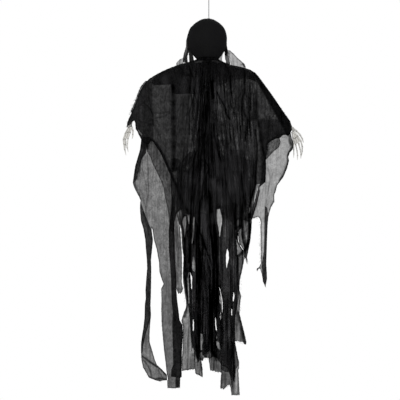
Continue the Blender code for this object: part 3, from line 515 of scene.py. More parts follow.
def unfanned(c, r):
    """The column at which the fold through a place would end: folds radiate from the neck, then hang straight."""
    side = np.asarray(c, float) - 208.0
    tight = 0.84 * (1 - eased((np.asarray(r, float) - 52.0) / 175.0))
    low, high = np.zeros_like(side), np.full_like(side, 260.0)
    for _ in range(22):
        middle = (low + high) / 2
        far = middle * (1 - tight * np.exp(-((middle / 34.0) ** 2))) > np.abs(side)
        high = np.where(far, middle, high)
        low = np.where(far, low, middle)
    return np.sign(side) * (low + high) / 2


def robe(x, z):
    """How far the robe stands out from the middle plane: close over the arms, full below the shoulders."""
    drop = np.maximum(0.0, shoulder_z(x) - z)
    at_neck = (0.046 + 0.0125 * eased((z + 0.3064) / 0.008)) * np.exp(-((x / 0.060) ** 2))
    top = np.maximum(at_neck, 0.0026)
    left_x, right_x = spot(151.5, 0)[0], spot(264.5, 0)[0]
    arm = np.maximum(eased((left_x + 0.022 - x) / 0.05), eased((x - right_x + 0.022) / 0.05))
    full = ROBE_DEPTH + (SLEEVE_DEPTH - ROBE_DEPTH) * arm
    fall = ROBE_FALL + (SLEEVE_FALL - ROBE_FALL) * arm
    base = top + (full - top) * np.sin(np.pi / 2 * np.minimum(1.0, drop / fall) ** (1.5 - 0.8 * arm))
    open_ = fan(z)
    wave = 0.005 * eased(drop / 0.07) * open_ * np.sin(2 * np.pi * x / open_ / 0.12)
    for pin in SHOULDER_PINS:
        pin_x, pin_z = spot(*pin)
        base = base + 0.0085 * np.exp(-((x - pin_x) ** 2 + (z - pin_z) ** 2) / 0.015**2)
    return base + wave * (1 - 0.8 * arm)


def pleats(x, z, seed):
    """Finer folds that radiate from the neck and then hang straight, in metres."""
    c, r = picture_place(x, z)
    u = unfanned(c, r)
    fall = eased((r - 66) / 40.0)
    total = 0.0
    made = np.random.default_rng(seed)
    for size, height in ((46.0, 0.0032), (27.0, 0.0026), (16.0, 0.0021), (9.0, 0.0015), (5.0, 0.0008)):
        drift = 3.0 * np.sin(r / 60.0 + made.random() * 6.0) + 1.5 * np.sin(r / 23.0 + made.random() * 6.0)
        total = total + height * np.sin(2 * np.pi * ((u + drift) / size + made.random()))
    calm = 1.0 - 0.75 * eased((np.abs(c - 208.0) - 30.0) / 26.0) * eased((150.0 - r) / 60.0)
    return total * fall * calm * (0.4 + 0.6 * eased((r - 60) / 120.0))


# Folds that the cloth shows behind: places along each, its width in columns, how dark it is, as denser cloth and
# painted shade (below zero where the cloth is clearer and lighter) and its height in metres
BACK_FOLDS = [
    ([(189, 66), (191.2, 76), (190.2, 88), (191.3, 96), (191.9, 103), (190.4, 109), (189.1, 114), (189.8, 120),
      (189.4, 127), (189.4, 135)], 1.2, 0.75, 0.004),
    ([(191, 72), (193.4, 79), (193.4, 89), (194.4, 94), (196, 99), (198, 105)], 1.0, 0.65, 0.003),
    ([(198, 105), (197.4, 116), (196.4, 121), (195.3, 126), (195.5, 129)], 0.9, 0.5, 0.003),
    ([(192.4, 111), (192.4, 116), (194.4, 120)], 0.8, 0.5, 0.003),
    ([(183, 71), (185.6, 76), (188.6, 75)], 1.0, 0.7, 0.002),
    ([(205.8, 92), (204.8, 101), (203.3, 107.4), (202.4, 117), (201.2, 121.4), (199.4, 130), (199, 141), (199, 146.4),
      (197.6, 150.4), (195.6, 154), (193.6, 160), (193.3, 169), (192.5, 190), (191, 214), (190.4, 228)],
     1.25, 0.85, 0.004),
    ([(207.2, 92), (207.4, 104), (207.3, 113), (206.3, 119), (205.5, 127), (205.4, 131), (204.1, 138), (204.1, 146),
      (204.4, 153.5), (204.4, 159), (206.3, 163), (208.5, 168.4), (206.4, 176), (206.6, 190), (204, 196), (201, 199),
      (199.4, 206), (199.4, 222)], 1.25, 1.0, 0.004),
    ([(212.4, 82), (212.2, 88), (213, 98)], 2.4, 1.4, 0.004),
    ([(208.8, 120), (209.4, 128), (210.6, 136), (211.6, 143.5), (211.3, 150), (211.6, 168), (211.4, 178)],
     1.0, 0.6, 0.003),
    ([(200.2, 156), (200.2, 162), (201, 170)], 0.9, 0.6, 0.003),
    ([(198.3, 152), (198.3, 158)], 0.8, 0.6, 0.003),
    ([(225, 64), (229, 74), (230, 84), (231.4, 95), (230.4, 101), (231.4, 108)], 1.0, 0.75, 0.003),
    ([(216.6, 92), (217.9, 95.2), (220.2, 99.3), (223.2, 104), (224.8, 108), (226.7, 115), (229.6, 119.4)],
     1.15, 0.8, 0.003),
    ([(226.4, 94), (226.6, 100), (228.6, 106), (231, 111)], 0.8, 0.45, 0.002),
    ([(235.6, 97), (235.3, 104), (233.6, 113)], 0.9, 0.45, 0.002),
    ([(238.6, 98), (238.2, 112)], 0.8, 0.3, 0.002),
    ([(242.8, 66), (244.2, 80), (244.4, 91.6), (242.6, 98), (242.3, 106), (243.8, 113), (247.2, 119.4), (247.3, 124),
      (246, 130), (245.5, 136), (244.6, 141)], 1.6, 0.62, 0.003),
    ([(252.4, 84), (251.6, 92), (250.6, 101), (250.8, 110)], 1.1, 0.4, 0.002),
    ([(213.4, 124), (213.6, 128), (214.6, 135), (216.4, 145.8), (218, 153), (221.4, 161.6), (222.4, 164), (224.6, 172),
      (227.6, 190), (231.4, 202), (234.6, 206), (234.6, 216)], 1.15, 0.85, 0.004),
    ([(226.4, 132), (227.6, 140.5), (228, 147.4), (230.4, 151.6)], 1.0, 0.5, 0.003),
    ([(224.6, 146), (224.5, 156), (225.2, 172), (227, 188)], 0.9, 0.6, 0.003),
    ([(244.4, 150), (243.4, 160), (242.6, 168)], 1.5, 0.28, 0.003),
    ([(255.4, 92), (256, 107.5), (256.8, 118)], 2.9, 0.52, 0.004),
    ([(257.6, 120), (259.2, 127), (260.2, 134), (261, 142), (264.4, 158), (265, 168), (265, 182)], 2.5, 0.66, 0.004),
    ([(255, 130), (255.6, 136), (256.7, 143), (257, 152), (256.7, 160.5), (256.2, 169), (255, 184), (252.2, 194),
      (249.4, 206), (248.2, 218)], 1.1, 0.85, 0.004),
    ([(265, 184), (261, 185.6), (258.6, 186.8), (259.4, 192), (258, 199), (255, 208), (252, 218)], 1.3, 0.8, 0.003),
    ([(243.4, 176), (243.3, 200), (241.6, 214)], 0.9, 0.35, 0.003),
    ([(233, 172), (234, 188), (235.4, 198), (234.6, 212), (236, 228)], 1.2, 0.75, 0.003),
    ([(243.4, 190), (242.6, 206), (241.6, 220), (243, 238)], 1.2, 0.75, 0.003),
    ([(249.4, 214), (249.4, 232), (248, 246), (245.6, 256)], 1.6, 0.8, 0.003),
    ([(173.4, 86), (173.6, 110), (173.8, 142), (173.4, 168)], 4.2, 0.70, 0.002),
    ([(183.6, 99), (183, 130), (182.6, 156)], 12.0, 0.33, 0.0),
    ([(171.5, 93.6), (180, 94), (188, 93)], 1.0, 0.35, 0.001),
    ([(155, 84.6), (162, 84.6), (170, 84)], 0.9, 0.3, 0.001),
    ([(154, 113), (162, 113.6), (170, 111.6)], 1.0, 0.35, 0.001),
    ([(155, 118.4), (163, 117), (171, 113)], 1.0, 0.35, 0.001),
    ([(155, 124), (158, 132), (162, 142), (168, 150)], 1.0, 0.14, 0.001),
    ([(185.4, 95), (182.4, 102), (178.8, 107.6), (176.8, 113)], 1.2, 0.32, 0.002),
    ([(189, 100), (186, 108), (182.6, 113), (180.2, 118), (179.6, 124), (180, 129), (182, 137), (184, 143.5),
      (185.4, 150), (187, 155)], 1.15, 0.34, 0.002),
    ([(177, 136), (179, 146), (180, 156)], 1.0, 0.26, 0.002),
    ([(184, 120), (185.6, 130), (186.4, 142)], 1.0, 0.22, 0.002),
    ([(176, 169), (182, 167), (188, 161), (193, 156)], 1.6, 0.45, 0.002),
    ([(170, 172), (178, 170), (190, 172)], 2.4, 0.3, 0.001),
    ([(183, 176), (187, 180), (192, 190)], 1.0, 0.3, 0.002),
    ([(153, 142), (158.6, 149), (163.4, 155.6), (167, 164), (170.4, 171), (174.6, 181), (178, 190), (182, 199),
      (186, 207), (190.6, 215)], 2.6, 0.40, 0.002),
    ([(248, 69), (256, 75), (262, 85), (270, 97), (280, 112), (289, 126)], 2.4, 0.2, 0.001),
    ([(148.4, 88), (148.8, 98), (151, 108), (152.4, 120)], 2.2, 0.24, 0.001),
    ([(147.6, 128), (147, 138)], 4.4, 0.26, 0.001),
    ([(142, 101), (146, 104.4), (149.6, 108.4), (152.6, 114.6), (153.4, 126)], 1.3, 0.6, 0.001),
    ([(137.6, 119), (141, 121.6), (146, 122.6), (152, 120)], 1.2, 0.5, 0.001),
    ([(139, 125.6), (143, 126.8), (147, 126), (151.4, 124)], 1.1, 0.45, 0.001),
    ([(136.4, 113), (136, 120), (137, 128)], 1.4, 0.4, 0.001),
    ([(137.8, 106), (143, 103), (146, 97)], 1.2, 0.3, 0.001),
    ([(265.6, 95), (268.6, 103), (271, 110)], 1.0, 0.3, 0.001),
    ([(269.4, 117), (270, 122), (268, 128)], 1.5, 0.5, 0.001),
    ([(264.4, 114), (266, 120), (263, 124)], 1.2, 0.3, 0.001),
    ([(281, 120), (282.6, 126), (286, 130)], 1.3, 0.4, 0.001),
    ([(262, 136), (272, 133.6), (284, 133)], 1.3, 0.4, 0.001),
    ([(183, 217.4), (185.4, 214.8), (188.4, 214.6)], 0.7, 0.5, 0.001),
    # a band along the neckline: painted shade under the head
    ([(191, 62.2), (195, 60.8), (199, 59.4), (207.6, 59), (216, 59.6), (221, 61.6), (225, 63)], 2.6, 0.62, 0.0),
    # the hanging strands
    ([(191.3, 203), (191.3, 216), (190.6, 224), (190.1, 229), (187, 231.4)], 1.0, 1.0, 0.002),
    ([(181.9, 221), (182.7, 219.2), (184.3, 215.7), (186.6, 214.2), (189.4, 214.6)], 0.7, 0.8, 0.001),
    ([(187.2, 216.8), (187.8, 222), (187.6, 228)], 0.6, 0.6, 0.001),
    ([(177.4, 214.6), (179.4, 220), (181.7, 227.3), (182.8, 235), (183, 243), (184, 250), (185.4, 258), (184.6, 272),
      (185.4, 286), (187.2, 298), (186.6, 307), (184.6, 316)], 1.0, 0.85, 0.002),
    ([(186.4, 232), (185.6, 244), (186.6, 256), (187.4, 266)], 1.0, 0.6, 0.002),
    ([(190.6, 228), (190.4, 240), (190.2, 252), (188.4, 262)], 1.2, 0.6, 0.002),
    ([(197.4, 226), (198, 240), (199, 248), (200.6, 253), (200.2, 262), (198.6, 276)], 1.1, 0.95, 0.002),
    ([(196.8, 232), (196.6, 250), (196.6, 268), (196.4, 286), (196.8, 300)], 1.2, 1.0, 0.003),
    ([(199.4, 258), (200.6, 276), (199.4, 290), (198.4, 310), (197.8, 332), (197.6, 356)], 2.1, 0.62, 0.003),
    ([(199.6, 205), (199.9, 212), (199.6, 220), (199.8, 231), (201, 235), (203, 240), (204.3, 244.6), (206.3, 249.5),
      (208, 255)], 0.85, 1.25, 0.003),
    ([(201.4, 253), (203.4, 261), (205.2, 268), (207, 275)], 0.7, 0.7, 0.002),
    ([(205.2, 253), (207.4, 261), (209.6, 269), (210.6, 276)], 0.7, 0.8, 0.002),
    ([(209.4, 255), (211.8, 264), (212.6, 272)], 0.6, 0.6, 0.002),
    ([(209.3, 226), (210.7, 234), (211.7, 240), (212.6, 250), (213.6, 262), (213.9, 276), (213.6, 282), (212.7, 292),
      (212.4, 300), (212.4, 330), (211.8, 348), (214, 353), (216, 359)], 1.35, 0.95, 0.004),
    ([(214.3, 226), (215.2, 238), (216, 246), (215.8, 254), (217, 266), (217.2, 282), (217.4, 296), (216.4, 316),
      (214.6, 330)], 1.5, 0.8, 0.004),
    ([(209, 192), (210.4, 200), (210, 206), (211, 211)], 1.8, 1.1, 0.004),
    ([(199.8, 333), (199.8, 350), (202.4, 359)], 0.9, 0.6, 0.002),
    ([(235.6, 204), (234.8, 211), (235, 220), (235.4, 228)], 1.4, 0.9, 0.002),
    ([(242.4, 205), (240.8, 211), (240.2, 218)], 1.0, 0.6, 0.002),
    ([(235.6, 229), (238, 226.6), (241.4, 225)], 1.0, 0.8, 0.001),
    ([(231.6, 266), (232.2, 284), (233, 296)], 1.0, 0.6, 0.002),
    ([(235.6, 284), (236, 300), (233.6, 320), (233.2, 334)], 1.0, 0.45, 0.002),
    ([(226.6, 268), (227.6, 276)], 0.7, 0.3, 0.002),
    ([(227, 344), (227.6, 362), (231, 374), (231.6, 392)], 2.6, 0.28, 0.002),
    ([(237.6, 231.6), (237.4, 240), (239, 243.8), (240.8, 247), (242.4, 250.4)], 0.7, 1.4, 0.001),
    ([(239.2, 255.2), (243.4, 251.2), (246.2, 246.4), (247.3, 243)], 1.0, 1.2, 0.002),
    ([(243.4, 252), (244.4, 256.4), (245.8, 259)], 0.8, 0.8, 0.001),
    ([(242.6, 224), (242.6, 236), (244.4, 246)], 1.0, 0.5, 0.001),
    ([(224, 374), (226, 380), (226, 388)], 4.4, 0.42, 0.001),
    ([(236, 378), (236.4, 393)], 2.4, -0.10, 0.0),
    ([(236.4, 323), (239, 331), (240, 341)], 3.0, 0.20, 0.001),
    ([(239, 313), (240.4, 321), (242.4, 331), (244.6, 342)], 2.4, 1.0, 0.001),
    ([(176, 212), (177, 230), (178.4, 246)], 3.0, 0.26, 0.001),
    ([(176.6, 226), (178.6, 246), (178, 266), (177.6, 284)], 0.7, 0.35, 0.001),
    ([(178.6, 250), (180, 262), (180.2, 276)], 0.6, 0.3, 0.001),
    ([(211, 366), (221, 367)], 4.0, 0.10, 0.001),
    ([(191.4, 332), (192.6, 341), (191.6, 350)], 0.6, 0.4, 0.001),
    ([(192.6, 354), (193.4, 366)], 1.7, 0.4, 0.001),
    ([(200.6, 361), (202, 374)], 0.8, 0.6, 0.001),
    # clearer and lighter
    ([(222, 226), (226, 245), (224, 275), (226, 300)], 3.6, -0.16, 0.0),
    ([(218.4, 137), (220.6, 144), (222.4, 149), (222.9, 156), (222.9, 168)], 1.3, -0.42, 0.0),
    ([(227.3, 99), (227.4, 106)], 0.9, -0.25, 0.0),
    ([(251.8, 122), (252.4, 132)], 1.8, -0.24, 0.0),
    ([(259, 144), (259.4, 154), (259.4, 164)], 1.3, -0.22, 0.0),
    ([(179.4, 96), (179, 102)], 2.2, -0.10, 0.0),
    ([(196, 135), (195.6, 141), (194.6, 147), (192, 150)], 1.9, -0.20, 0.0),
    ([(184.6, 100), (181.4, 108), (179, 113.4), (178, 119)], 0.9, -0.14, 0.0),
    ([(185.8, 112), (186, 120)], 1.5, -0.10, 0.0),
    ([(216, 104), (224, 114), (229, 122)], 2.0, -0.10, 0.0),
    ([(226, 120), (236, 118), (244, 118)], 4.0, -0.05, 0.0),
    ([(261, 170), (260, 182), (255.4, 196), (251.4, 208)], 1.8, -0.26, 0.0),
    ([(193.4, 286), (193.4, 308)], 2.4, -0.30, 0.0),
    ([(177.2, 216), (178.5, 224), (179.7, 234), (180.7, 246)], 1.0, -0.42, 0.0),
    ([(238.6, 204), (238.4, 216)], 1.0, -0.30, 0.0),
    ([(245, 224), (245.6, 238)], 2.0, -0.26, 0.0),
    ([(164, 80), (165, 84)], 2.6, -0.08, 0.0),
    ([(183, 80), (183.6, 92)], 3.2, -0.10, 0.0),
]


def line_distance(c, r, places):
    """Shortest distance from points to a line of places, in columns."""
    best = np.full(len(c), 1e9)
    p = np.stack([c, r], 1)
    for a, b in zip(places[:-1], places[1:]):
        d = b - a
        size = max(float(d @ d), 1e-12)
        t = np.clip(((p - a) @ d) / size, 0, 1)
        best = np.minimum(best, np.hypot(*(p - a - t[:, None] * d).T))
    return best


def near_line(c, r, places, reach):
    """Which points lie in the box round a line of places, and how far they are from its smooth curve."""
    known = np.array(places, float)
    near = np.flatnonzero(
        (c > known[:, 0].min() - reach) & (c < known[:, 0].max() + reach)
        & (r > known[:, 1].min() - reach) & (r < known[:, 1].max() + reach))
    if not len(near):
        return near, None
    return near, line_distance(c[near], r[near], smooth_points(places, 4 * len(places)))


def along_folds(c, r, folds, narrow=1.0):
    """Darkness and height of the listed folds at places; narrow makes those above the hanging strands thinner."""
    dark, thin, high = np.zeros(len(c)), np.zeros(len(c)), np.zeros(len(c))
    for places, width, darkness, height in folds:
        near, distance = near_line(c, r, places, 4.5 * width)
        if not len(near):
            continue
        thin_here = width * (narrow + (1 - narrow) * eased((r[near] - 190.0) / 30.0))
        uneven = 0.74 + 0.26 * wobble(r[near] / 14.0, len(places) + int(10 * places[0][0]), 3)
        grown = darkness * uneven * np.exp(-((distance / thin_here) ** 2))
        if darkness > 0:
            dark[near] = np.maximum(dark[near], grown)
        else:
            thin[near] = np.minimum(thin[near], grown)
        high[near] += height * np.exp(-((distance / (width * 2.0)) ** 2))
    return dark + thin, high


# Painted light and shade on the robe: lighter places where folds catch the light, darker places in their shade; a
# line, its width in columns and how much lighter it is
PAINTED_LIGHT_AND_SHADE = [
    ([(203, 212), (204.6, 228), (208, 242), (210, 252)], 2.8, 0.52),
    ([(203, 255.8), (204.8, 262.8), (206.6, 270), (208.4, 276)], 0.9, 0.44),
    ([(207.2, 256.4), (209.2, 262), (211.3, 268.7)], 0.9, 0.46),
    ([(211.2, 256.5), (212.6, 263), (213.2, 268)], 0.9, 0.40),
    ([(203, 283.4), (204.8, 295)], 0.9, 0.30),
    ([(207.4, 276), (207.4, 286), (208, 301)], 0.9, 0.30),
    ([(204.6, 282), (205, 300), (206, 318), (205, 332)], 2.6, 0.10),
    ([(226, 222), (227, 250), (225.4, 275), (226.4, 290)], 4.6, 0.40),
    ([(226.6, 334), (227, 352), (226.4, 366)], 4.6, 0.16),
    ([(233, 262), (235, 280), (236.6, 300)], 2.0, 0.30),
    ([(186, 236), (187.6, 250), (187.6, 266)], 1.6, 0.26),
    ([(193.6, 246), (194, 262), (194.6, 280), (194.2, 300)], 1.6, 0.46),
    ([(194, 182), (200, 176), (204, 178)], 4.0, 0.24),
    ([(213, 182), (219, 192), (222, 202)], 4.0, 0.40),
    ([(222, 164), (227, 180), (230, 200)], 4.0, 0.26),
    ([(238, 146), (236, 176), (238, 200)], 5.0, 0.26),
    ([(250, 146), (250, 165), (247, 188)], 4.0, 0.24),
    ([(213.6, 140), (215.4, 156), (217.6, 176)], 1.8, 0.26),
    ([(228, 150), (231, 170), (231.6, 190)], 3.0, 0.26),
    ([(236, 80), (237, 92), (238, 104)], 4.0, 0.10),
    ([(238, 112), (240, 124), (236, 138)], 9.0, -0.08),
    ([(252, 96), (252, 116), (250, 140)], 5.0, -0.08),
    ([(217, 78), (220, 92), (226, 106)], 2.6, 0.16),
    ([(197.4, 78), (198, 96), (196.4, 112), (198, 128)], 1.8, 0.36),
    ([(206, 90), (205.6, 104)], 1.0, 0.30),
    ([(214.6, 84), (215.4, 96), (214, 110)], 1.4, 0.34),
    ([(183.6, 79), (184, 93)], 3.4, 0.26),
    ([(164.6, 78), (165, 85)], 3.4, 0.26),
    ([(196, 66), (203, 68)], 3.0, 0.10),
    ([(141.4, 107), (141.8, 120)], 1.6, 0.34),
    ([(260.4, 96), (263, 104), (267, 116)], 2.6, 0.14),
    ([(195, 60.4), (207, 59.6), (219, 60.4)], 2.0, 0.08),
    ([(205, 66), (205, 82)], 9.0, -0.16),
    ([(203, 88), (203, 150), (201, 200)], 7.0, -0.08),
    ([(263.4, 123), (264, 131)], 2.0, 0.28),
    ([(253, 122), (253.2, 136)], 1.2, 0.35),
    ([(272, 120), (280, 127)], 3.0, 0.14),
    ([(186, 176), (186.6, 196), (188, 206)], 3.0, 0.22),
    ([(200.4, 184), (202, 178), (203, 168)], 1.4, 0.30),
    ([(204.4, 204), (204, 222), (206, 236)], 2.6, 0.30),
    ([(214, 210), (215, 226)], 2.0, 0.10),
    ([(217, 228), (222.4, 240), (223, 262)], 1.2, 0.30),
    ([(200, 240), (199.4, 262), (200, 290), (199.6, 320), (199, 350)], 2.4, -0.16),
    ([(209.6, 286), (210.4, 306), (210, 330), (211, 348)], 2.2, -0.26),
    ([(214.6, 226), (216, 250), (216.4, 280), (216, 304)], 1.9, -0.30),
    ([(207.6, 90), (208, 108)], 1.0, -0.15),
    ([(197.6, 196), (197.4, 214), (197.6, 232)], 1.4, -0.14),
    ([(188, 232), (189.6, 246), (188.4, 262)], 1.0, -0.30),
]


def lit_and_shaded(c, r):
    """How much painted light or shade the robe has at places."""
    total = np.zeros(len(c))
    for places, width, amount in PAINTED_LIGHT_AND_SHADE:
        near, distance = near_line(c, r, places, 3.2 * width)
        if len(near):
            total[near] += amount * np.exp(-((distance / width) ** 2))
    return total


def inside(c, r, places):
    """Whether points lie in a closed outline."""
    found = np.zeros(len(c), bool)
    count = len(places)
    for i in range(count):
        (x1, y1), (x2, y2) = places[i], places[(i + 1) % count]
        crosses = (y1 > r) != (y2 > r)
        if y1 != y2:
            found ^= crosses & (c < (x2 - x1) * (r - y1) / (y2 - y1) + x1)
    return found


def inside_cut(c, r, rings):
    """Whether points lie in the first ring and in none of the holes after it."""
    keep = inside(c, r, rings[0])
    for ring in rings[1:]:
        keep &= ~inside(c, r, ring)
    return keep


def edge_distance(c, r, rings):
    """How far points are from the nearest ring, in columns."""
    near = np.full(len(c), 1e9)
    for ring in rings:
        near = np.minimum(near, line_distance(c, r, np.vstack([ring, ring[:1]])))
    return near


def worn(outline, seed, ragged, fray_row, step=0.8):
    """An outline with short steps, its edge wandering a little and torn at its lower end."""
    places = np.array(outline, float)
    closed = np.vstack([places, places[:1]])
    lengths = np.hypot(*np.diff(closed, axis=0).T)
    found = []
    t = 0.0
    for a, b, size in zip(closed[:-1], closed[1:], lengths):
        count = max(1, int(round(size / step)))
        d = (b - a) / max(size, 1e-9)
        normal = np.array([d[1], -d[0]])
        for k in range(count):
            place = a + (b - a) * k / count
            amount = ragged
            if fray_row is not None and place[1] > fray_row and abs(d[0]) > 0.5:
                amount = ragged + 0.5
            push = amount * float(wobble(np.array(t + size * k / count) / 5.0, seed, 5))
            if k == 0:
                push *= 0.4
            found.append(place + normal * push)
        t += size
    return np.array(found)


# How much wider, longer and larger a sheet lies flat than it hangs
FLAT_SHARE = 1.06
HOLE_SEED = 90


def cut(name, outline, depth, material, holes=(), step=1.0, ragged=0.22, fray_row=None, hem=0.5, hem_width=0.8,
        seed=1, dark=None, folded=None, light_and_shade=None):
    """A piece of cloth cut to an outline of picture places. depth(x, z) gives its y, dark(c, r) its density, which
    also darkens its colour as painted shade, folded(c, r) how closely it is creased and tint(c, r) how much lighter it
    is, as painted light and shade."""
    edge = worn(outline, seed, ragged, fray_row)
    low, high = edge.min(0), edge.max(0)
    holes = [h for h in holes if not (
        max(p[0] for p in h) < low[0] or min(p[0] for p in h) > high[0]
        or max(p[1] for p in h) < low[1] or min(p[1] for p in h) > high[1])]
    rings = [edge] + [worn(hole, HOLE_SEED + i, ragged, None, 0.5) for i, hole in enumerate(holes)]
    columns = np.arange(low[0], high[0], step)
    rows = np.arange(low[1], high[1], step * 0.9)
    grid_c, grid_r = np.meshgrid(columns, rows)
    grid_c = grid_c + (np.arange(len(rows)) % 2)[:, None] * step / 2
    c, r = grid_c.ravel(), grid_r.ravel()
    keep = inside_cut(c, r, rings)
    c, r = c[keep], r[keep]
    keep = edge_distance(c, r, rings) > step * 0.45
    c, r = c[keep], r[keep]
    points = [Vector((float(a), float(b))) for a, b in zip(c, r)]
    edges = []
    for ring in rings:
        first = len(points)
        points += [Vector((float(a), float(b))) for a, b in ring]
        edges += [(first + i, first + (i + 1) % len(ring)) for i in range(len(ring))]
    verts, _, faces, *_ = delaunay_2d_cdt(points, edges, [], 0, 1e-5)
    places = np.array([tuple(v) for v in verts], float)
    faces = np.array([f for f in faces if len(f) == 3], int)
    centre = places[faces].mean(1)
    faces = faces[inside_cut(centre[:, 0], centre[:, 1], rings)]
    used = np.unique(faces)
    index = np.full(len(places), -1)
    index[used] = np.arange(len(used))
    places, faces = places[used], index[faces]
    c, r = places[:, 0], places[:, 1]
    x, z = spot(c, r)
    solid = np.stack([x, depth(x, z), z], 1)
    mesh = bpy.data.meshes.new(name)
    mesh.from_pydata(solid.tolist(), [], faces.tolist())
    mesh.update()
    # Hems and the dark value make the cloth denser and darken its colour as painted shade
    thick_and_shade = hem * np.exp(-((edge_distance(c, r, rings) / hem_width) ** 2))
    if dark is not None:
        other = dark(c, r)
        thick_and_shade = np.where(other > 0, np.maximum(thick_and_shade, other), thick_and_shade + other)
    paint(mesh, "thick_and_shade", thick_and_shade)
    paint(mesh, "folded", folded(c, r) if folded is not None else np.full(len(c), 0.15))
    paint(mesh, "light_and_shade", light_and_shade(c, r) if light_and_shade is not None else np.zeros(len(c)))
    paint_map(mesh, "flat", np.stack([c * PIXEL, -r * PIXEL], 1))
    paint_map(mesh, "folds", np.stack([unfanned(c, r) * PIXEL, -r * PIXEL], 1))
    thing = link(name, mesh, material)
    first, second, third = solid[faces].transpose(1, 0, 2)
    area = float(np.linalg.norm(np.cross(second - first, third - first), axis=1).sum() / 2)
    wide, long = float(x.max() - x.min()), float(z.max() - z.min())
    thing["cut_area"] = area * FLAT_SHARE
    thing["cut_size"] = [wide * FLAT_SHARE, long * FLAT_SHARE]
    return thing


def hung(thing):
    """Works out a flat size for a cut piece from its cut outline, brought near to the cloth's area; the size is not
    kept and the piece comes back as it was.
    """
    wide, long = thing["cut_size"]
    area = thing["cut_area"]
    while area > wide * long:
        wide, long = wide * 1.03, long * 1.03
    while area < 0.31 * wide * long:
        wide, long = wide * 0.97, long * 0.97
    return thing


def back(layer):
    """The depth of a layer of the back, so many layers inside the cape."""
    def depth(x, z):
        high = along_folds(*picture_place(x, z), BACK_FOLDS)[1]
        return -(robe(x, z) + pleats(x, z, BACK_SEED) + high - layer * LAYER_GAP)
    return depth


def front(layer):
    """The depth of a layer of the front, so many layers inside the cape."""
    def depth(x, z):
        return robe(x, z) + pleats(x, z, FRONT_SEED) - layer * LAYER_GAP
    return depth


def back_dark(c, r):
    return along_folds(c, r, BACK_FOLDS, 0.62)[0]


# ---------------------------------------------------------------- outlines of the cloth
# Slits through the robe: the outline, and the piece of cloth that still covers it, if any
SLITS = [
    ([(217.1, 209.2), (219.9, 208.8), (221, 213.6), (222.1, 218.4), (222.1, 223.4), (221, 228), (220.6, 232),
      (219.9, 236.8), (219.1, 236.8), (219.2, 232.6), (218.5, 228.4), (217.7, 224.4), (216.9, 221.6),
      (216.7, 214)], "right_veil"),
    ([(227.2, 248.4), (228.6, 252), (229, 259), (227.6, 264), (226.6, 269), (226, 262), (226, 254)], None),
    ([(219.0, 285), (220, 289), (220.9, 293), (221.9, 298), (222.6, 303), (222.6, 310), (222.1, 314), (221.8, 306),
      (221.6, 300), (220.9, 295.6), (220, 291)], None),
    ([(220.0, 294), (221.2, 298), (221.5, 304), (221.3, 312), (221.6, 318), (220.6, 322), (220.1, 316), (220.6, 308),
      (219.9, 300)], "right_long"),
    ([(215.2, 316), (216, 320), (216.2, 325), (217, 331), (216, 330.6), (215.2, 324)], None),
    ([(193.2, 318), (193.9, 322), (193.8, 331), (192.9, 331), (192.8, 324)], None),
    ([(190, 272), (191.6, 275.4), (192.3, 278), (191.9, 281.6), (192.1, 289.6), (191.4, 289), (191, 282),
      (190.6, 277)], None),
    ([(189.3, 270.8), (188.7, 275), (188.6, 280), (188.9, 284), (189, 292), (189.4, 303), (188.6, 304), (188.1, 292),
      (187.6, 284), (187.2, 279.4), (188, 275)], "tatter_inner"),
    ([(233.4, 292), (234.5, 295), (234.2, 299), (233.4, 302), (232.7, 300)], None),
    ([(231.4, 307), (232.2, 311), (232, 316), (231.2, 315)], None),
    ([(238.3, 231), (241.5, 227.7), (241.3, 235), (242, 239.6), (243, 244), (243.8, 248), (242.8, 250), (240.9, 247),
      (239, 243.6), (237.9, 240), (237.9, 233)], "right_tatter"),
    ([(235, 233), (236, 239), (236.8, 240.6), (238.6, 244.4), (240.4, 247.2), (242.2, 250.4), (239.8, 253.6),
      (237.4, 255.2), (236.9, 246.4), (235.9, 240)], "right_outer"),
    ([(249.3, 218.4), (251, 218), (251.2, 223.6), (250, 223.2)], "right_outer"),
    ([(249.8, 206.4), (250.4, 207), (249.8, 211), (249, 213.4), (248.2, 212.6), (248.9, 209)], "right_outer"),
    ([(216.2, 340.6), (218.8, 341.6), (219.8, 346), (220.6, 350.6), (218, 349), (216.4, 345)], "centre_flap"),
    ([(216.4, 334.4), (217.2, 337), (216.8, 340), (216.2, 338)], "centre_flap"),
    ([(200.6, 333), (202.8, 334), (203.2, 341), (202, 346), (202.4, 350), (200.8, 351), (200.2, 344)], "centre_left"),
    ([(200.2, 352), (201.8, 351.6), (202.4, 355), (201.4, 358.6), (200.4, 356)], "centre_left"),
    ([(182.7, 219.6), (184.3, 216), (186, 216.4), (186.3, 222), (185.8, 228), (185.4, 233), (184.6, 238), (184, 234),
      (183.6, 228), (182.6, 222.6)], "left_veil"),
    ([(187.6, 215.2), (189.4, 215.2), (189.6, 220), (189.2, 225), (188.4, 223), (187.8, 219)], "left_veil"),
    ([(193.4, 216.8), (194.8, 217.4), (194.4, 223), (194.1, 231), (194, 236), (193, 240), (192.2, 244), (191.6, 243),
      (192.4, 236), (192.8, 226), (193, 220)], "left_veil"),
    ([(193, 256), (194.2, 257.6), (195.1, 263), (195.4, 268), (194.8, 272), (193, 271), (191.9, 268), (192.5, 262)],
     "left_veil"),
]
CAPE_SLITS = [[(137.6, 129.8), (138.8, 130), (142.3, 134.4), (141.8, 135.6), (139.6, 133.2)]]

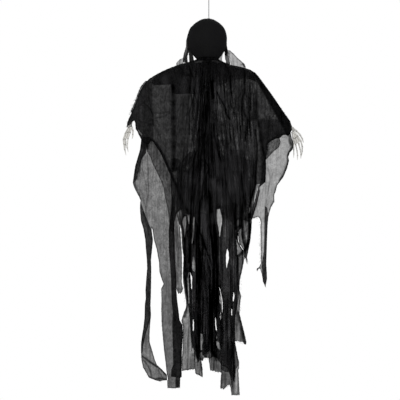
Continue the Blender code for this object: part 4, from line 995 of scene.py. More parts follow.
CAPE_LEFT = [
    (209.4, 57.6), (203, 57.4), (198.4, 57.8), (196.4, 59.6), (193.4, 60.6), (190, 61.6), (183, 63.2), (177, 65.2),
    (170, 67.8), (163.4, 70.7), (156.6, 74.2), (149.7, 78.4), (146.4, 81.4), (143.6, 85.2), (141.0, 89.6),
    (139, 93.7), (137.4, 98.6), (135.8, 103), (133.6, 108.4), (131.2, 113.4), (128.8, 118.4), (127.4, 122),
    (126.8, 127.7), (128.4, 126), (130.6, 124.2), (132.6, 121.4), (134.4, 120.6), (135.4, 124), (135.6, 128.8),
    (137.2, 131.2), (139.2, 135.6), (141.4, 139.8), (144, 143), (149, 144), (150.6, 141.2), (152.6, 141.4),
    (157, 147.6), (160.6, 153.4), (164.4, 161.4), (168, 170), (171.6, 178), (175.6, 185.6), (178.8, 193.4),
    (182, 201), (186, 208.4), (190.4, 215), (198, 212), (209.4, 215),
]
CAPE_RIGHT = [
    (208.4, 57.6), (214, 57.8), (217.4, 58.6), (221.6, 61.2), (226, 62.8), (231, 65), (238, 66.2), (245, 68),
    (250, 69.6), (255.5, 73), (258.7, 76.7), (261.8, 80.8), (266.6, 87.4), (270.8, 93.2), (275.9, 100.5),
    (280.7, 107.6), (285.6, 114.8), (290.3, 121.2), (291.8, 127), (290.6, 133.6), (288, 136), (285.6, 134.8),
    (282.8, 135.2), (280.4, 137.6), (276, 138.6), (271.6, 140.8), (267.6, 144), (266.6, 152), (265.8, 160), (266, 170),
    (265.4, 182), (261.4, 185.4), (259, 187), (259.6, 192), (256.6, 205), (252.4, 218), (249.6, 222), (246, 221),
    (240, 217.6), (233, 224), (226, 214.6), (217, 209.6), (208.4, 213),
]
# The front's necklines and hems are its own; between them it follows the back's edge
FRONT_LEFT = [(209.4, 63.4), (203, 63.2), (197, 62.6), (191, 62)] + CAPE_LEFT[6:40] + [
    (170.6, 172), (176, 170.8), (184, 168.4), (192, 160), (199, 148), (209.4, 150),
]
FRONT_RIGHT = [(208.4, 63.4), (214, 63.2), (220, 62.8), (226, 63.2)] + CAPE_RIGHT[5:31] + [
    (262, 184), (257, 184), (255, 190), (252, 198), (248, 206), (236, 206), (226, 202), (217, 200), (208.4, 198),
]
YOKE_BACK = [
    (209, 58.2), (202, 58.2), (198, 59), (195, 61), (190, 62.8), (177, 66.4), (163.4, 72), (156.6, 75.8),
    (151.8, 80), (152.4, 84.8), (160, 85.2), (171, 84.6), (171.8, 92.6), (176, 94.6), (188, 94.2), (196, 94.8),
    (209, 88), (218, 84), (226, 80),
    (231, 77), (243, 75), (251, 78), (256.8, 82), (252, 73), (245, 69.6), (231, 66.2), (224, 62.8), (219, 60),
    (216, 58.8),
]
YOKE_FRONT = [
    (209, 61.6), (200, 62), (190, 63.2), (177, 66.4), (163.4, 72), (156.6, 75.8), (153.2, 79), (153.4, 84),
    (163, 84.4), (170.4, 84), (173, 91), (182, 93), (190, 92.8), (200, 93), (218, 86), (229, 81),
    (243, 78), (250, 79), (256, 82), (252, 73), (245, 69.6), (231, 66.6), (219, 62),
]

SHEETS = []
CAPE_GAUZE = gauze_material("cape_gauze", 0.215)


def edge_seed():
    """The seed of the next sheet's torn edge."""
    return len(SHEETS) * 13 + 5


def robe_folded(c, r):
    """How closely the robe is creased: most down the middle, little over the shoulders and near the sleeves."""
    middle = np.exp(-(((c - 205.0) / (11.0 + 10.0 * eased((r - 90) / 120.0))) ** 2))
    right = 0.54 * eased((c - 212.0) / 5.0) * eased((258.0 - c) / 6.0)
    left = 0.34 * eased((c - 187.0) / 6.0) * eased((206.0 - c) / 4.0) + 0.10 * eased((c - 174.0) / 4.0)
    low = 0.55 * eased((r - 196.0) / 40.0)
    neck = eased((r - 60.0) / 30.0)
    return np.clip(0.06 + (np.maximum(0.85 * middle, np.maximum(left, right))) * neck, 0.06 + low, 1)


def panel(name, outline, layer, side, material, replaces, fray, hem, own):
    """A panel of the robe, in a layer of the back or the front; own is how much denser all of it is."""
    make = back if side == "back" else front

    def shade(c, r):
        return (back_dark(c, r) if side == "back" else 0.0) + np.full(len(c), own)

    thing = cut(
        name, outline, make(layer), material, holes=[h for h, kept in SLITS if kept != name], fray_row=fray,
        dark=shade, hem=hem, seed=edge_seed(), folded=robe_folded, light_and_shade=lit_and_shaded, step=0.85,
    )
    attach(thing, "torso")
    if replaces:
        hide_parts(*replaces)
    SHEETS.append(thing)
    return thing


# ---------------------------------------------------------------- cape, sleeves and yoke
def cape_half(name, outline, depth, dark, arm, start, end, replaced):
    """Half of the cape and the sleeve that it ends in, which stretches from the torso to the arm."""
    behind = "front" not in name
    thing = cut(name, outline, depth, CAPE_GAUZE, dark=dark, seed=edge_seed(), hem=0.55, folded=robe_folded,
                light_and_shade=lit_and_shaded, step=0.75 if behind else 1.0,
                holes=[h for h, kept in SLITS] + (CAPE_SLITS if behind else []))
    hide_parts(*replaced)
    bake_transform(thing)
    SHEETS.append(thing)
    hung(thing)
    return thing


def sleeve_dark(c, r):
    """The sleeves have a second thickness of cloth outside the shoulders."""
    left = eased((153.2 - c + 0.03 * (r - 110)) / 1.2)
    right = eased((c - 262.0 - 0.56 * (r - 92)) / 1.8) + 0.5 * eased((c - 258.4) / 1.2) * eased((r - 118) / 3)
    return np.maximum(0.16 * left, 0.44 * np.clip(right, 0, 1))


def cape_dark(c, r):
    """The cape is denser in its folds and on the sleeves; where it is drawn together at the neck it is darker too, as
    painted shade under the head.
    """
    made = back_dark(c, r)
    neck_shade = 0.12 * eased((63.4 - r) / 2.4) * eased((22.0 - np.abs(c - 207.4)) / 4.0)
    return np.where(made < 0, made, np.maximum(np.maximum(made, neck_shade), sleeve_dark(c, r)))


LEFT_SPAN = float(spot(190, 0)[0]), float(spot(149, 0)[0])
RIGHT_SPAN = float(spot(222, 0)[0]), float(spot(262, 0)[0])
cape_half("cape_left", CAPE_LEFT, back(0), cape_dark, "left_arm", *LEFT_SPAN, ["cape_back", "left_sleeve"])
cape_half("cape_right", CAPE_RIGHT, back(0), cape_dark, "right_arm", *RIGHT_SPAN, ["cape_back", "right_sleeve"])
cape_half("cape_front_left", FRONT_LEFT, front(0), sleeve_dark, "left_arm", *LEFT_SPAN, ["cape_front", "left_sleeve"])
cape_half("cape_front_right", FRONT_RIGHT, front(0), sleeve_dark, "right_arm", *RIGHT_SPAN,
          ["cape_front", "right_sleeve"])

for name, make, outline, node_name in (
    ("yoke_cloth_back", back, YOKE_BACK, "yoke_back"), ("yoke_cloth_front", front, YOKE_FRONT, "yoke_front"),
):
    thing = cut(name, outline, make(-0.75), CAPE_GAUZE, dark=back_dark if make is back else None, hem=0.3, seed=77,
                folded=robe_folded, light_and_shade=lit_and_shaded, step=0.8 if make is back else 1.0)
    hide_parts(node_name)
    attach(thing, "torso")
    SHEETS.append(thing)
    hung(thing)

# Loose single threads and thin cloth along the left shoulder's edge
FRINGE = [
    (146, 80.6), (142.8, 83.6), (140.0, 88), (137.6, 93.6), (136.2, 98.4), (134.4, 102.6), (132.2, 108),
    (130.6, 111.4), (131.4, 113), (133.8, 108.6), (136, 103), (137.6, 98.8), (139.2, 93.9), (141.2, 90),
    (143.8, 85.6), (147, 81.4),
]
fringe = cut("shoulder_fringe", FRINGE, back(1), GAUZE, ragged=0.45, hem=0.9, hem_width=0.5, step=0.5, seed=404,
             dark=lambda c, r: 0.05 + 0.30 * np.sin(2.6 * (0.62 * c + 0.78 * r) + 1.4 * wobble(r / 9.0, 5)) ** 3)
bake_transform(fringe)
hung(fringe)

# ---------------------------------------------------------------- robe panels and tatters
# Name, nodes that it stands for, side, layer, the row below which its edge frays, how much denser it is, material
# and outline
PANELS = [
    ("tatter_outer", ["tatter_left_outer"], "back", 1, 284, 0.04, GAUZE, [
        (175, 158), (172.6, 162), (170.8, 168), (170.4, 178), (171.6, 196), (172, 214), (173, 224), (174, 240),
        (175, 262), (176, 280), (176.4, 288), (177.4, 291.4), (178.6, 293.6), (179.6, 292.4), (180.6, 293.6),
        (182, 291), (183.2, 288.4), (182.2, 284.6), (181.8, 282), (182, 275), (182.1, 262), (182, 255),
        (181.7, 248), (181.3, 241), (180.7, 232), (179.4, 222), (177.3, 214.4), (180, 208), (184, 200), (184, 180),
        (183, 168), (180, 160)]),
    ("tatter_inner", ["tatter_left_inner"], "back", 2, 362, 0.0, GAUZE, [
        (190, 152), (184, 158), (179, 166), (177.6, 180), (177.4, 200), (176.6, 212), (177.6, 217), (179.1, 222.4),
        (181.1, 229), (181.8, 240), (182.2, 248), (183.5, 256), (183.3, 264), (182.8, 274), (183.2, 282),
        (184.2, 288), (185, 295), (186.2, 302), (186, 307), (184, 311.6), (181.4, 320), (183, 326), (183, 336),
        (182.6, 350), (181.6, 362), (182, 370), (190, 368.8), (195, 368.2), (195.4, 350), (195.6, 330), (196.4, 300),
        (196.6, 280), (196.8, 240), (197, 210), (198, 152)]),
    ("centre_left", ["robe_centre_left"], "back", 1, 358, 0.0, GAUZE, [
        (201, 64), (197.6, 90), (195, 116), (191.6, 160), (190, 200), (190, 226), (189.4, 250), (190.2, 262),
        (190.8, 290), (190.8, 330), (193.6, 350), (194.8, 366), (195.2, 372.6), (199, 374.6), (202.8, 376.4),
        (202.6, 368), (201.4, 360), (202.8, 360.4), (204, 357.4), (207.4, 357), (209, 340), (210, 300),
        (209.6, 220), (208.4, 150), (207.4, 110), (207, 64)]),
    ("centre", ["robe_centre"], "back", 2, 350, 0.1, GAUZE, [
        (206, 64), (204, 120), (202.6, 160), (202, 220), (202.4, 300), (202.4, 340), (203.4, 356), (209, 358),
        (214, 356), (218, 358), (220, 359), (221.8, 340), (222, 300), (222.4, 250), (222.8, 205), (218, 146),
        (214.6, 96), (213, 64)]),
    ("centre_flap", ["flap_centre"], "back", 3, 362, 0.08, GAUZE, [
        (209, 280), (207.8, 300), (207.8, 340), (208.2, 357), (209.4, 364), (210, 369.4), (216, 371),
        (221.4, 371.8), (221.8, 352), (221.2, 325), (219, 300), (216, 280)]),
    ("right_long", ["panel_right_long"], "back", 3, 360, 0.0, GAUZE, [
        (215, 140), (217, 170), (219, 210), (220, 250), (220.2, 300), (221.2, 371), (220.4, 380), (220.2, 387.8),
        (222.6, 387.6), (223.8, 389), (226, 386), (229.4, 383.8), (230.4, 387), (231.4, 394.4), (239.6, 394.2),
        (238.8, 380), (238.2, 369), (239, 367.6), (239, 360.4), (237.6, 357), (236, 350), (234.8, 341),
        (235, 320), (236.6, 300), (238.2, 280), (238.6, 250), (237, 220), (233, 170), (229, 140)]),
    ("right_outer", ["panel_right_outer"], "back", 2, 336, 0.0, GAUZE, [
        (226, 150), (230, 180), (232.6, 210), (233.4, 250), (233.8, 300), (234.4, 340.6), (238, 340.6),
        (243, 341.6), (244.6, 344), (246, 343.6), (246.2, 341), (244.4, 333), (242.4, 325), (240.6, 318),
        (239.4, 313), (239.6, 307), (240.2, 301), (241, 296), (239.4, 290), (239.2, 282), (240.4, 277), (242, 270),
        (243.6, 262), (245, 254), (248.4, 246), (250.4, 236), (251.4, 224), (250, 196), (246, 160), (242, 150)]),
    ("right_tatter", ["tatter_right"], "back", 1, 254, 0.0, GAUZE, [
        (241, 160), (238.8, 180), (238.4, 210), (238.6, 226), (237.8, 234), (238.8, 243), (243.6, 250),
        (244.4, 256), (245.6, 259), (247, 264.6), (246.6, 258), (248.2, 250), (250.2, 240), (251.2, 230),
        (251.8, 219), (253.4, 204), (256, 184), (256.6, 160)]),
    ("front_left", ["robe_front_left"], "front", 2, 340, 0.0, GAUZE, [
        (199.6, 147), (192, 158), (184, 166.4), (177, 169), (176.4, 180), (178.8, 193.4), (182.4, 202), (186, 208.4),
        (186.4, 230), (185.4, 250), (185, 270), (185.8, 284), (187.6, 300), (189.4, 318), (190.4, 334), (191.6, 348),
        (195, 351), (200, 352), (200.4, 280), (199.8, 220), (201, 147)]),
    ("front_centre", ["robe_front_centre"], "front", 1, 350, 0.1, GAUZE, [
        (201, 130), (197.6, 170), (196.4, 220), (196, 290), (195.6, 352), (203, 356), (209, 352), (215, 356),
        (219, 362), (222, 366), (222.4, 340), (221.6, 290), (223.6, 220), (221, 170), (214, 130)]),
    ("front_right", ["robe_front_right"], "front", 2, 362, 0.0, GAUZE, [
        (219, 156), (221, 200), (221.8, 250), (222.4, 300), (221.4, 366), (228, 369), (232, 378), (234.6, 384),
        (236, 370), (238.4, 366), (238, 357), (235, 341), (235, 320), (238.6, 300), (240.4, 277), (243.4, 262),
        (243, 236), (244, 210), (243, 180), (242, 156)]),
    ("inner_robe", None, "back", 4, 210, -0.05, LIGHT_GAUZE, [
        (198, 64), (193, 90), (191.6, 110), (191, 130), (194, 152), (200, 165), (206, 206), (218, 208), (230, 214),
        (246, 212), (255.4, 190), (257, 160), (256.4, 120), (254, 96), (248, 78), (238, 68), (226, 64)]),
    ("left_veil", None, "back", 5, 270, 0.03, GAUZE, [
        (190, 204), (182.6, 208), (178.4, 211), (179.6, 218), (181.8, 227), (183.2, 234), (184.6, 246),
        (185.8, 258), (187.4, 266), (190, 271.6), (196.4, 273), (197, 240), (197, 214)]),
    ("right_veil", None, "back", 5, 240, 0.06, LIGHT_GAUZE, [
        (214, 196), (215.6, 210), (217, 224), (218.6, 234), (220, 240), (223, 238), (224, 210), (223, 196)]),
    ("centre_lining", None, "back", 4, 352, 0.2, GAUZE, [
        (202, 110), (198.6, 150), (196.8, 176), (196, 220), (195.6, 300), (195.4, 354), (198, 362), (202, 358),
        (203.6, 350), (207, 352), (212, 348), (218, 332), (218.6, 290), (219, 240), (216, 200), (213, 150),
        (211, 110)]),
    ("left_lining", None, "back", 3, 352, 0.05, GAUZE, [
        (197, 160), (188, 170), (181, 186), (180, 206), (182, 214), (183.2, 236), (184, 262), (183.8, 276),
        (185.6, 290), (187.8, 304), (190.4, 318), (191.6, 330), (195.6, 345), (200, 346), (200.6, 250), (200, 190)]),
    ("right_lining", None, "back", 4, 366, 0.05, GAUZE, [
        (225, 196), (223.6, 230), (222.4, 260), (222.6, 300), (222, 330), (220.8, 368), (222.6, 370.4), (229, 372),
        (230.2, 376), (231.6, 386), (232.4, 392), (233.4, 377), (234.8, 376), (234.4, 341), (233, 300),
        (232.6, 240), (234, 214), (236, 196)]),
]
for name, node_names, side, layer, fray, more, material, outline in PANELS:
    thing = panel(name, outline, layer, side, material, node_names, fray, 0.5 if node_names else 0.2, more)
    hung(thing)

# ---------------------------------------------------------------- drapes from the arms
LEFT_DRAPE_PIVOT = (148.6, 141.0)
RIGHT_DRAPE_PIVOT = (284.6, 136.0)
DRAPE_TOP_DEPTH = 0.019


def drape_depth(pivot, seed, folds, lift=0.0, hand=0.0):
    """How a drape hangs in depth; hand pushes its upper right edge out, clear of the fingers behind it."""
    px, pz = (float(v) for v in spot(*pivot))

    def depth(x, z):
        c, r = picture_place(x, z)
        ease = eased((pz - z) / 0.15)
        waves = 0.0042 * np.sin(2 * np.pi * (x - px) / 0.105)
        u, v = x / 0.034, z / 0.5
        waves = waves + 0.0022 * np.sin(2 * np.pi * (u + 0.3 * np.sin(2 * np.pi * v + seed)))
        waves = waves + 0.0012 * np.sin(2 * np.pi * (u * 2.7 + 0.5 * np.sin(2 * np.pi * v * 1.7 + seed)))
        high = along_folds(c, r, folds)[1]
        beside = hand * eased((r - 136) / 5) * (1 - eased((r - 152) / 26)) * eased((c - 279) / 7)
        return -DRAPE_TOP_DEPTH * (1 - ease) + ease * (waves - high) - lift - beside
    return depth


LEFT_SHEET = [
    (141.4, 137), (141, 142), (140, 150), (137.6, 158), (135.2, 166), (134.2, 172), (133.4, 178), (132.7, 182.6),
    (134, 187), (136.2, 191.6), (139.2, 197), (140.6, 200.6), (140, 206), (140.2, 212), (141, 221), (143.5, 229),
    (145.3, 240), (146, 250), (146.9, 260), (147.2, 268), (146.2, 280), (145.5, 290), (145.8, 298), (144.9, 304),
    (144.5, 318), (143.4, 328), (142, 336), (141, 344), (141.0, 352), (141.5, 360), (143, 367.4), (146.6, 373.4),
    (149, 377.8), (154.6, 380), (160, 381.6), (161.8, 380.7), (168, 380), (167.2, 375), (162, 369.4), (157, 365),
    (155, 360.4), (152.2, 350.6), (149.6, 342), (149.5, 335), (150, 326), (151, 315), (150.5, 305), (150.9, 296),
    (151.1, 285), (151.3, 270), (151, 260), (152, 250), (153, 240), (151.8, 231), (151.6, 227.4), (152.6, 230),
    (154, 240), (156.8, 249.6), (158, 257), (159, 262), (159.5, 272), (161.6, 279), (163.6, 284), (161.2, 288.6),
    (161.5, 300), (161.3, 310), (161.6, 322), (162.6, 335), (164, 350), (165.5, 362), (166.8, 374), (167.2, 380),
    (167.4, 387.8), (173.6, 388.3), (180, 387.6), (180.2, 378), (181.6, 377), (181.6, 365), (182, 350), (183, 335),
    (182.5, 325), (179.6, 320), (178.5, 310), (177, 300), (176.2, 288), (176, 280), (175, 260), (174.4, 240),
    (174.6, 222), (177, 212), (184, 208), (184, 200), (180, 190), (174, 178), (170, 168), (164, 154), (158, 144),
    (150, 137),
]
LEFT_SHEET_FOLDS = [
    ([(141.6, 142), (140.6, 152), (138.6, 160), (136.6, 168), (135.4, 174), (134.4, 182), (137, 190), (140.6, 200)],
     1.0, 0.5, 0.001),
    ([(146, 140), (144, 150), (141.4, 158), (140.2, 165), (139, 172), (137, 179)], 1.1, 0.55, 0.001),
    ([(142.6, 160), (143, 172), (146, 184), (147, 196), (147, 208)], 0.6, 0.22, 0.001),
    ([(148.6, 168), (148, 180), (148.6, 192), (147, 200), (146.4, 210)], 0.8, 0.35, 0.001),
    ([(152, 194), (151.6, 210)], 0.8, 0.15, 0.001),
    ([(141, 190), (145, 206), (147.6, 222), (149, 236)], 0.8, 0.3, 0.001),
    ([(143, 212), (146.4, 222), (148.6, 236)], 0.9, 0.4, 0.001),
    ([(159, 216), (158, 236), (160, 250)], 0.7, 0.12, 0.001),
    ([(166, 230), (166.4, 250), (168, 276), (168.6, 300), (169, 330)], 0.7, 0.14, 0.001),
    ([(141.6, 356), (146, 358.6), (150, 362), (156.6, 366.4), (162, 370.6), (167, 376)], 0.8, 0.9, 0.001),
    ([(143.6, 360), (148, 366), (150.6, 372), (152, 378)], 0.7, 0.5, 0.001),
    ([(149.5, 377.5), (154, 379.3), (160, 378.6), (167, 379.4)], 1.0, 1.0, 0.001),
    ([(158, 370), (161, 375), (162.6, 379)], 0.7, 0.4, 0.001),
    ([(162.6, 284), (164.6, 284), (167, 292)], 0.7, 0.3, 0.001),
    ([(164, 292), (166.4, 300), (167, 308)], 0.7, 0.2, 0.001),
    ([(160.6, 256), (163.4, 252)], 0.7, 0.25, 0.001),
    ([(164, 310), (164.6, 330), (166, 350)], 0.6, 0.12, 0.001),
    ([(146, 262), (148.6, 280), (148.2, 300), (147, 318)], 0.7, 0.4, 0.001),
]


def left_depth(lift=0.0):
    return drape_depth(LEFT_DRAPE_PIVOT, 1.0, LEFT_SHEET_FOLDS, lift)


LOWER_PANEL = [
    (158, 262), (163.6, 284), (161.5, 300), (161.6, 322), (164, 350), (166.8, 374), (167.2, 388), (180.4, 388),
    (183, 350), (183, 325), (178, 300), (175, 262),
]


def left_sheet_dark(c, r):
    made = along_folds(c, r, LEFT_SHEET_FOLDS)[0]
    strip = 0.16 * eased((153.5 - c) / 1.0) * eased((r - 226) / 12.0) * eased((352 - r) / 12.0)
    low = 0.11 * inside(c, r, LOWER_PANEL) * eased((r - 262) / 25.0)
    top = 0.5 * eased((151 - r) / 4.0) * eased((150.0 - c) / 2.0)
    light = -0.03 * eased((r - 158) / 6.0) * eased((232 - r) / 12.0)
    return np.maximum(made + light, np.maximum(np.maximum(strip, low), top))


def drape_piece(name, outline, depth, material, body_span, dark, hem=0.45, replaced=(), seed=31,
                hem_width=0.8):
    """A piece of a drape, cut to its outline and baked where it hangs."""
    arm, drape, upper, lower = body_span
    thing = cut(name, outline, depth, material, seed=seed, hem=hem, dark=dark, ragged=0.15, hem_width=hem_width)
    if replaced:
        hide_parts(*replaced)
    float(spot(0, upper)[1])
    float(spot(0, lower)[1])
    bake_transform(thing)
    hung(thing)
    SHEETS.append(thing)


LEFT_BODY = ("left_arm", "left_drape", 139, 156)
drape_piece("left_drape_cloth", LEFT_SHEET, left_depth(), GAUZE, LEFT_BODY, left_sheet_dark, hem=0.8, hem_width=0.55,
            replaced=["left_drape", "left_drape_tail"])

# The drape is folded over: a double strip down its outer edge, a double wedge beside the cape's hem and a narrow
# pleat of several thicknesses down its inner side
EDGE_FOLD = [
    (147.4, 141), (141.4, 139), (141, 143), (139.8, 151), (137.4, 158.6), (135.2, 167), (134.6, 176), (133.6, 183),
    (136.6, 179.4), (138.2, 172.6), (140, 166), (142, 158.6), (146.2, 153),
]
WEDGE = [
    (146.6, 141), (146.8, 146), (147.2, 151.6), (150.8, 158), (152.4, 163.6), (157, 172.6), (161, 181), (163.6, 188),
    (165, 198), (167.4, 208), (169, 218), (169.4, 228), (173.6, 234), (174.4, 222), (176.8, 212), (183, 208),
    (184, 200), (180, 190), (174, 178), (170, 168), (164, 154), (158, 144), (152, 138),
]
PLEAT = [
    (171.8, 196), (171.2, 208), (169.8, 220), (168.6, 230), (168.7, 240), (168.8, 250), (170, 262), (171, 280),
    (171.6, 300), (172.6, 312), (172.2, 325), (172.4, 335), (173, 350), (173.2, 365), (171.4, 369), (171, 376.6),
    (176.2, 377.2), (181.8, 377), (181.6, 365), (182.1, 350), (183, 335), (182.5, 325), (179.6, 320), (178.5, 310),
    (177.2, 300), (176.2, 286), (175.9, 276), (174.9, 260), (174.2, 240), (174.2, 224), (175, 212), (174.4, 200),
]
TAIL_HEM = [(176, 377), (175.4, 382), (175.8, 388), (180, 387.6), (180.3, 377)]
STRIP_FOLD = [
    (140.3, 201), (140.2, 211), (141, 221), (143.5, 229), (145.3, 240), (146, 250), (146.9, 260), (147.2, 268),
    (146.2, 280), (145.5, 290), (145.8, 298), (144.9, 304), (144.5, 318), (143.4, 328), (142, 336), (141, 344),
    (141.2, 356),
    (142.4, 352), (143.6, 344), (145.8, 334), (148.4, 326), (150.4, 318), (150.2, 305), (150.8, 296), (151, 285),
    (151.2, 270), (150.9, 260), (151.8, 250), (152.8, 240), (151.4, 231), (149, 224), (145.6, 216), (142.8, 208),
]
for name, outline, lift, material, seed, own in (
    ("left_drape_edge", EDGE_FOLD, 0.0020, GAUZE, 41, 0.12),
    ("left_drape_wedge", WEDGE, -0.0018, LIGHT_GAUZE, 42, 0.06),
    ("left_drape_pleat", PLEAT, 0.0018, GAUZE, 43, 0.32),
    ("left_drape_hem", TAIL_HEM, 0.0016, GAUZE, 44, 0.2),
    ("left_drape_strip", STRIP_FOLD, 0.0021, GAUZE, 45, 0.0),
):
    drape_piece(name, outline, left_depth(lift), material, LEFT_BODY,
                lambda c, r, own=own: np.full(len(c), own), seed=seed)

RIGHT_SHEET = [
    (268, 142), (267, 150), (265, 158), (262, 166), (261, 180), (256, 196), (252.6, 208), (251.4, 218),
    (253.6, 218.2), (256, 217.4), (258, 216.6), (259.8, 218.6), (261, 222.4), (260.4, 228), (260.9, 236), (260.6, 244),
    (261.2, 252), (260.8, 258), (261, 263), (259.4, 266.6), (256.6, 269), (257, 271.6), (258.4, 268.6), (260.2, 268.8),
    (262, 275), (263, 282), (264.4, 284.6), (265.6, 287.4), (265.8, 283.6), (267, 279), (266.8, 274), (266.2, 266),
    (266.5, 256), (266.9, 245), (267.2, 233), (267.6, 225), (268.4, 217), (269.6, 212), (271.2, 207), (274.4, 201.6),
    (274.2, 195), (276, 190.4), (277, 185.6), (280, 181.6), (283.4, 177), (287, 168.6), (289, 161), (288.2, 157),
    (289.6, 153), (292.8, 149), (293, 143), (291.6, 138), (290.6, 133), (281, 134), (276, 136),
]
RIGHT_SHEET_FOLDS = [
    ([(291.6, 148), (289.8, 151), (288.0, 155), (287.9, 160), (287.2, 165), (284.2, 173), (280, 180.4)],
     0.9, 1.9, 0.001),
    ([(280, 180.4), (276.4, 186.6), (274, 195), (274.4, 200.6), (271, 206.6), (268.6, 215)], 0.6, 1.0, 0.001),
    ([(290.6, 133), (291.8, 138), (292.7, 142.4), (292.4, 148)], 1.0, 2.6, 0.001),
    ([(289.4, 136), (289.8, 141), (291, 145)], 1.2, 1.2, 0.001),
    ([(266.6, 216), (266.4, 236), (265.8, 250), (264.8, 262), (264.6, 274), (265, 283)], 0.9, 0.7, 0.001),
    ([(262, 262), (262.8, 268), (263.6, 280)], 1.2, 0.4, 0.001),
    ([(262, 224), (262.4, 240), (262, 256)], 2.0, -0.10, 0.0),
    ([(257.4, 269.4), (260.4, 267.6), (262, 266)], 0.8, 0.6, 0.001),
    ([(266.4, 160), (266, 180), (260.4, 197), (254, 214)], 0.6, 0.15, 0.001),
    ([(268, 168), (270, 178), (268.4, 190), (266.4, 204), (265, 222)], 0.6, 0.4, 0.001),
    ([(266, 180), (265.6, 200), (264.4, 222)], 0.5, 0.3, 0.001),
    ([(269.4, 196), (267.4, 208), (266.4, 222)], 0.5, 0.3, 0.001),
    ([(275, 168), (271, 178), (268.8, 186)], 0.6, 0.2, 0.001),
    ([(286, 164), (282, 172), (274, 176)], 0.8, 0.12, 0.001),
    ([(252, 217.6), (257, 217.4), (260.6, 220)], 0.5, 0.6, 0.001),
]
RIGHT_BODY = ("right_arm", "right_drape", 135, 152)


def right_depth(lift=0.0, hand=0.0):
    return drape_depth(RIGHT_DRAPE_PIVOT, 2.0, RIGHT_SHEET_FOLDS, lift, hand)


def right_sheet_dark(c, r):
    made = along_folds(c, r, RIGHT_SHEET_FOLDS)[0]
    return made + 0.04 * eased((152.0 - r) / 6.0) * eased((c - 281.5) / 3.0)


drape_piece("right_drape_cloth", RIGHT_SHEET, right_depth(hand=0.014), LIGHT_GAUZE, RIGHT_BODY, right_sheet_dark,
            hem=1.2, hem_width=0.5, replaced=["right_drape"], seed=37)
GUSSET = [
    (267.4, 141), (266.2, 147), (265.6, 153), (265.4, 160.4), (268.4, 157), (274.2, 151), (279, 147.2), (280.6, 142),
    (279.6, 138.6), (281.4, 134.6), (276, 136),
]
WISP_FOLD = [
    (265.0, 206), (264.4, 222), (264.2, 240), (263.7, 252), (262.4, 260), (261.8, 267), (262.6, 276), (263.6, 283),
    (265.4, 287.2), (267, 279), (266.8, 272), (266.3, 264), (266.6, 254), (267, 240), (267.6, 225), (268.2, 216),
    (267.4, 208),
]
drape_piece("right_wisp_fold", WISP_FOLD, right_depth(0.0018), GAUZE, RIGHT_BODY,
            lambda c, r: 0.05 * eased((r - 222) / 20.0), seed=48)
drape_piece("right_gusset", GUSSET, right_depth(-0.0018), GAUZE, RIGHT_BODY,
            lambda c, r: np.full(len(c), -0.12), seed=47)

# ---------------------------------------------------------------- frayed threads
# Where threads stand out of a torn edge: from, to, how many, their reach in columns and rows, and the depth of the
# cloth that they come out of
FRAYS = {
    "torso": [
        ((176.8, 287), (183, 288.5), 22, (0.4, 5.0), back(1)), ((243.8, 252), (247.4, 259), 20, (0.6, 5.5), back(1)),
        ((194.8, 371), (202.6, 374.8), 14, (0.2, 2.6), back(1)), ((182, 369), (195, 367.6), 12, (0.2, 1.8), back(2)),
        ((209.8, 368.4), (221, 371), 12, (0.3, 2.0), back(3)), ((220.4, 386.6), (230, 383), 16, (0.3, 2.6), back(3)),
        ((231.4, 393), (239.6, 393), 16, (0.1, 1.8), back(3)), ((236, 340.4), (246, 342.6), 12, (0.3, 1.8), back(2)),
        ((183.6, 262), (184.6, 300), 14, (-1.2, 2.4), back(2)), ((240.8, 276), (239.6, 312), 12, (1.3, 2.4), back(2)),
        ((202, 356), (218, 358), 22, (0.4, 3.4), back(1)), ((239.6, 250), (238.2, 256), 8, (0.6, 2.6), back(1)),
        ((185, 213.6), (190, 214.4), 10, (0.4, 3.0), back(1)), ((200.4, 334), (202.8, 352), 10, (0.8, 2.0), back(1)),
        ((216, 334), (220, 350), 14, (1.0, 2.6), back(2)),
    ],
    "left_arm": [
        ((143.0, 84.6), (139.4, 92), 12, (-2.2, 0.6), back(0)), ((138.6, 93), (136, 101), 12, (-2.4, 0.8), back(0)),
        ((135, 103.6), (130, 114.4), 16, (-2.4, 1.2), back(0)), ((127, 121), (127.2, 127), 6, (-0.6, 1.6), back(0)),
        ((135.6, 122), (141, 138), 10, (1.2, 1.8), back(0)),
    ],
    "right_arm": [
        ((266, 87.6), (276, 102), 12, (1.4, -0.2), back(0)), ((280, 107.6), (288, 118.8), 12, (1.6, 0.2), back(0)),
        ((281, 137.4), (289, 135.4), 10, (0.2, 1.6), back(0)),
    ],
    "left_drape": [
        ((147, 374), (161, 381), 12, (-0.4, 1.8), left_depth()),
        ((167.6, 387.4), (180, 387.4), 14, (0.1, 1.4), left_depth()),
        ((161.4, 290), (162, 330), 8, (-1.0, 1.2), left_depth()),
        ((141.4, 340), (142, 362), 6, (-1.0, 1.2), left_depth()),
    ],
    "right_drape": [
        ((261, 221), (261, 262), 46, (-1.7, 0.9), right_depth()),
        ((256.8, 268), (260.6, 267.4), 8, (-0.6, 2.6), right_depth()),
        ((262.4, 278), (265.8, 286), 8, (0.5, 2.2), right_depth()),
        ((252, 217.8), (258, 217), 10, (-0.2, 1.6), right_depth()),
        ((274, 196), (271, 207), 6, (1.3, 1.0), right_depth()),
        ((289, 150), (276, 188), 8, (1.2, 1.0), right_depth()),
    ],
}
THREAD_RADIUS = 0.00042
THREAD_POINTS = 6
made = np.random.default_rng(2024)
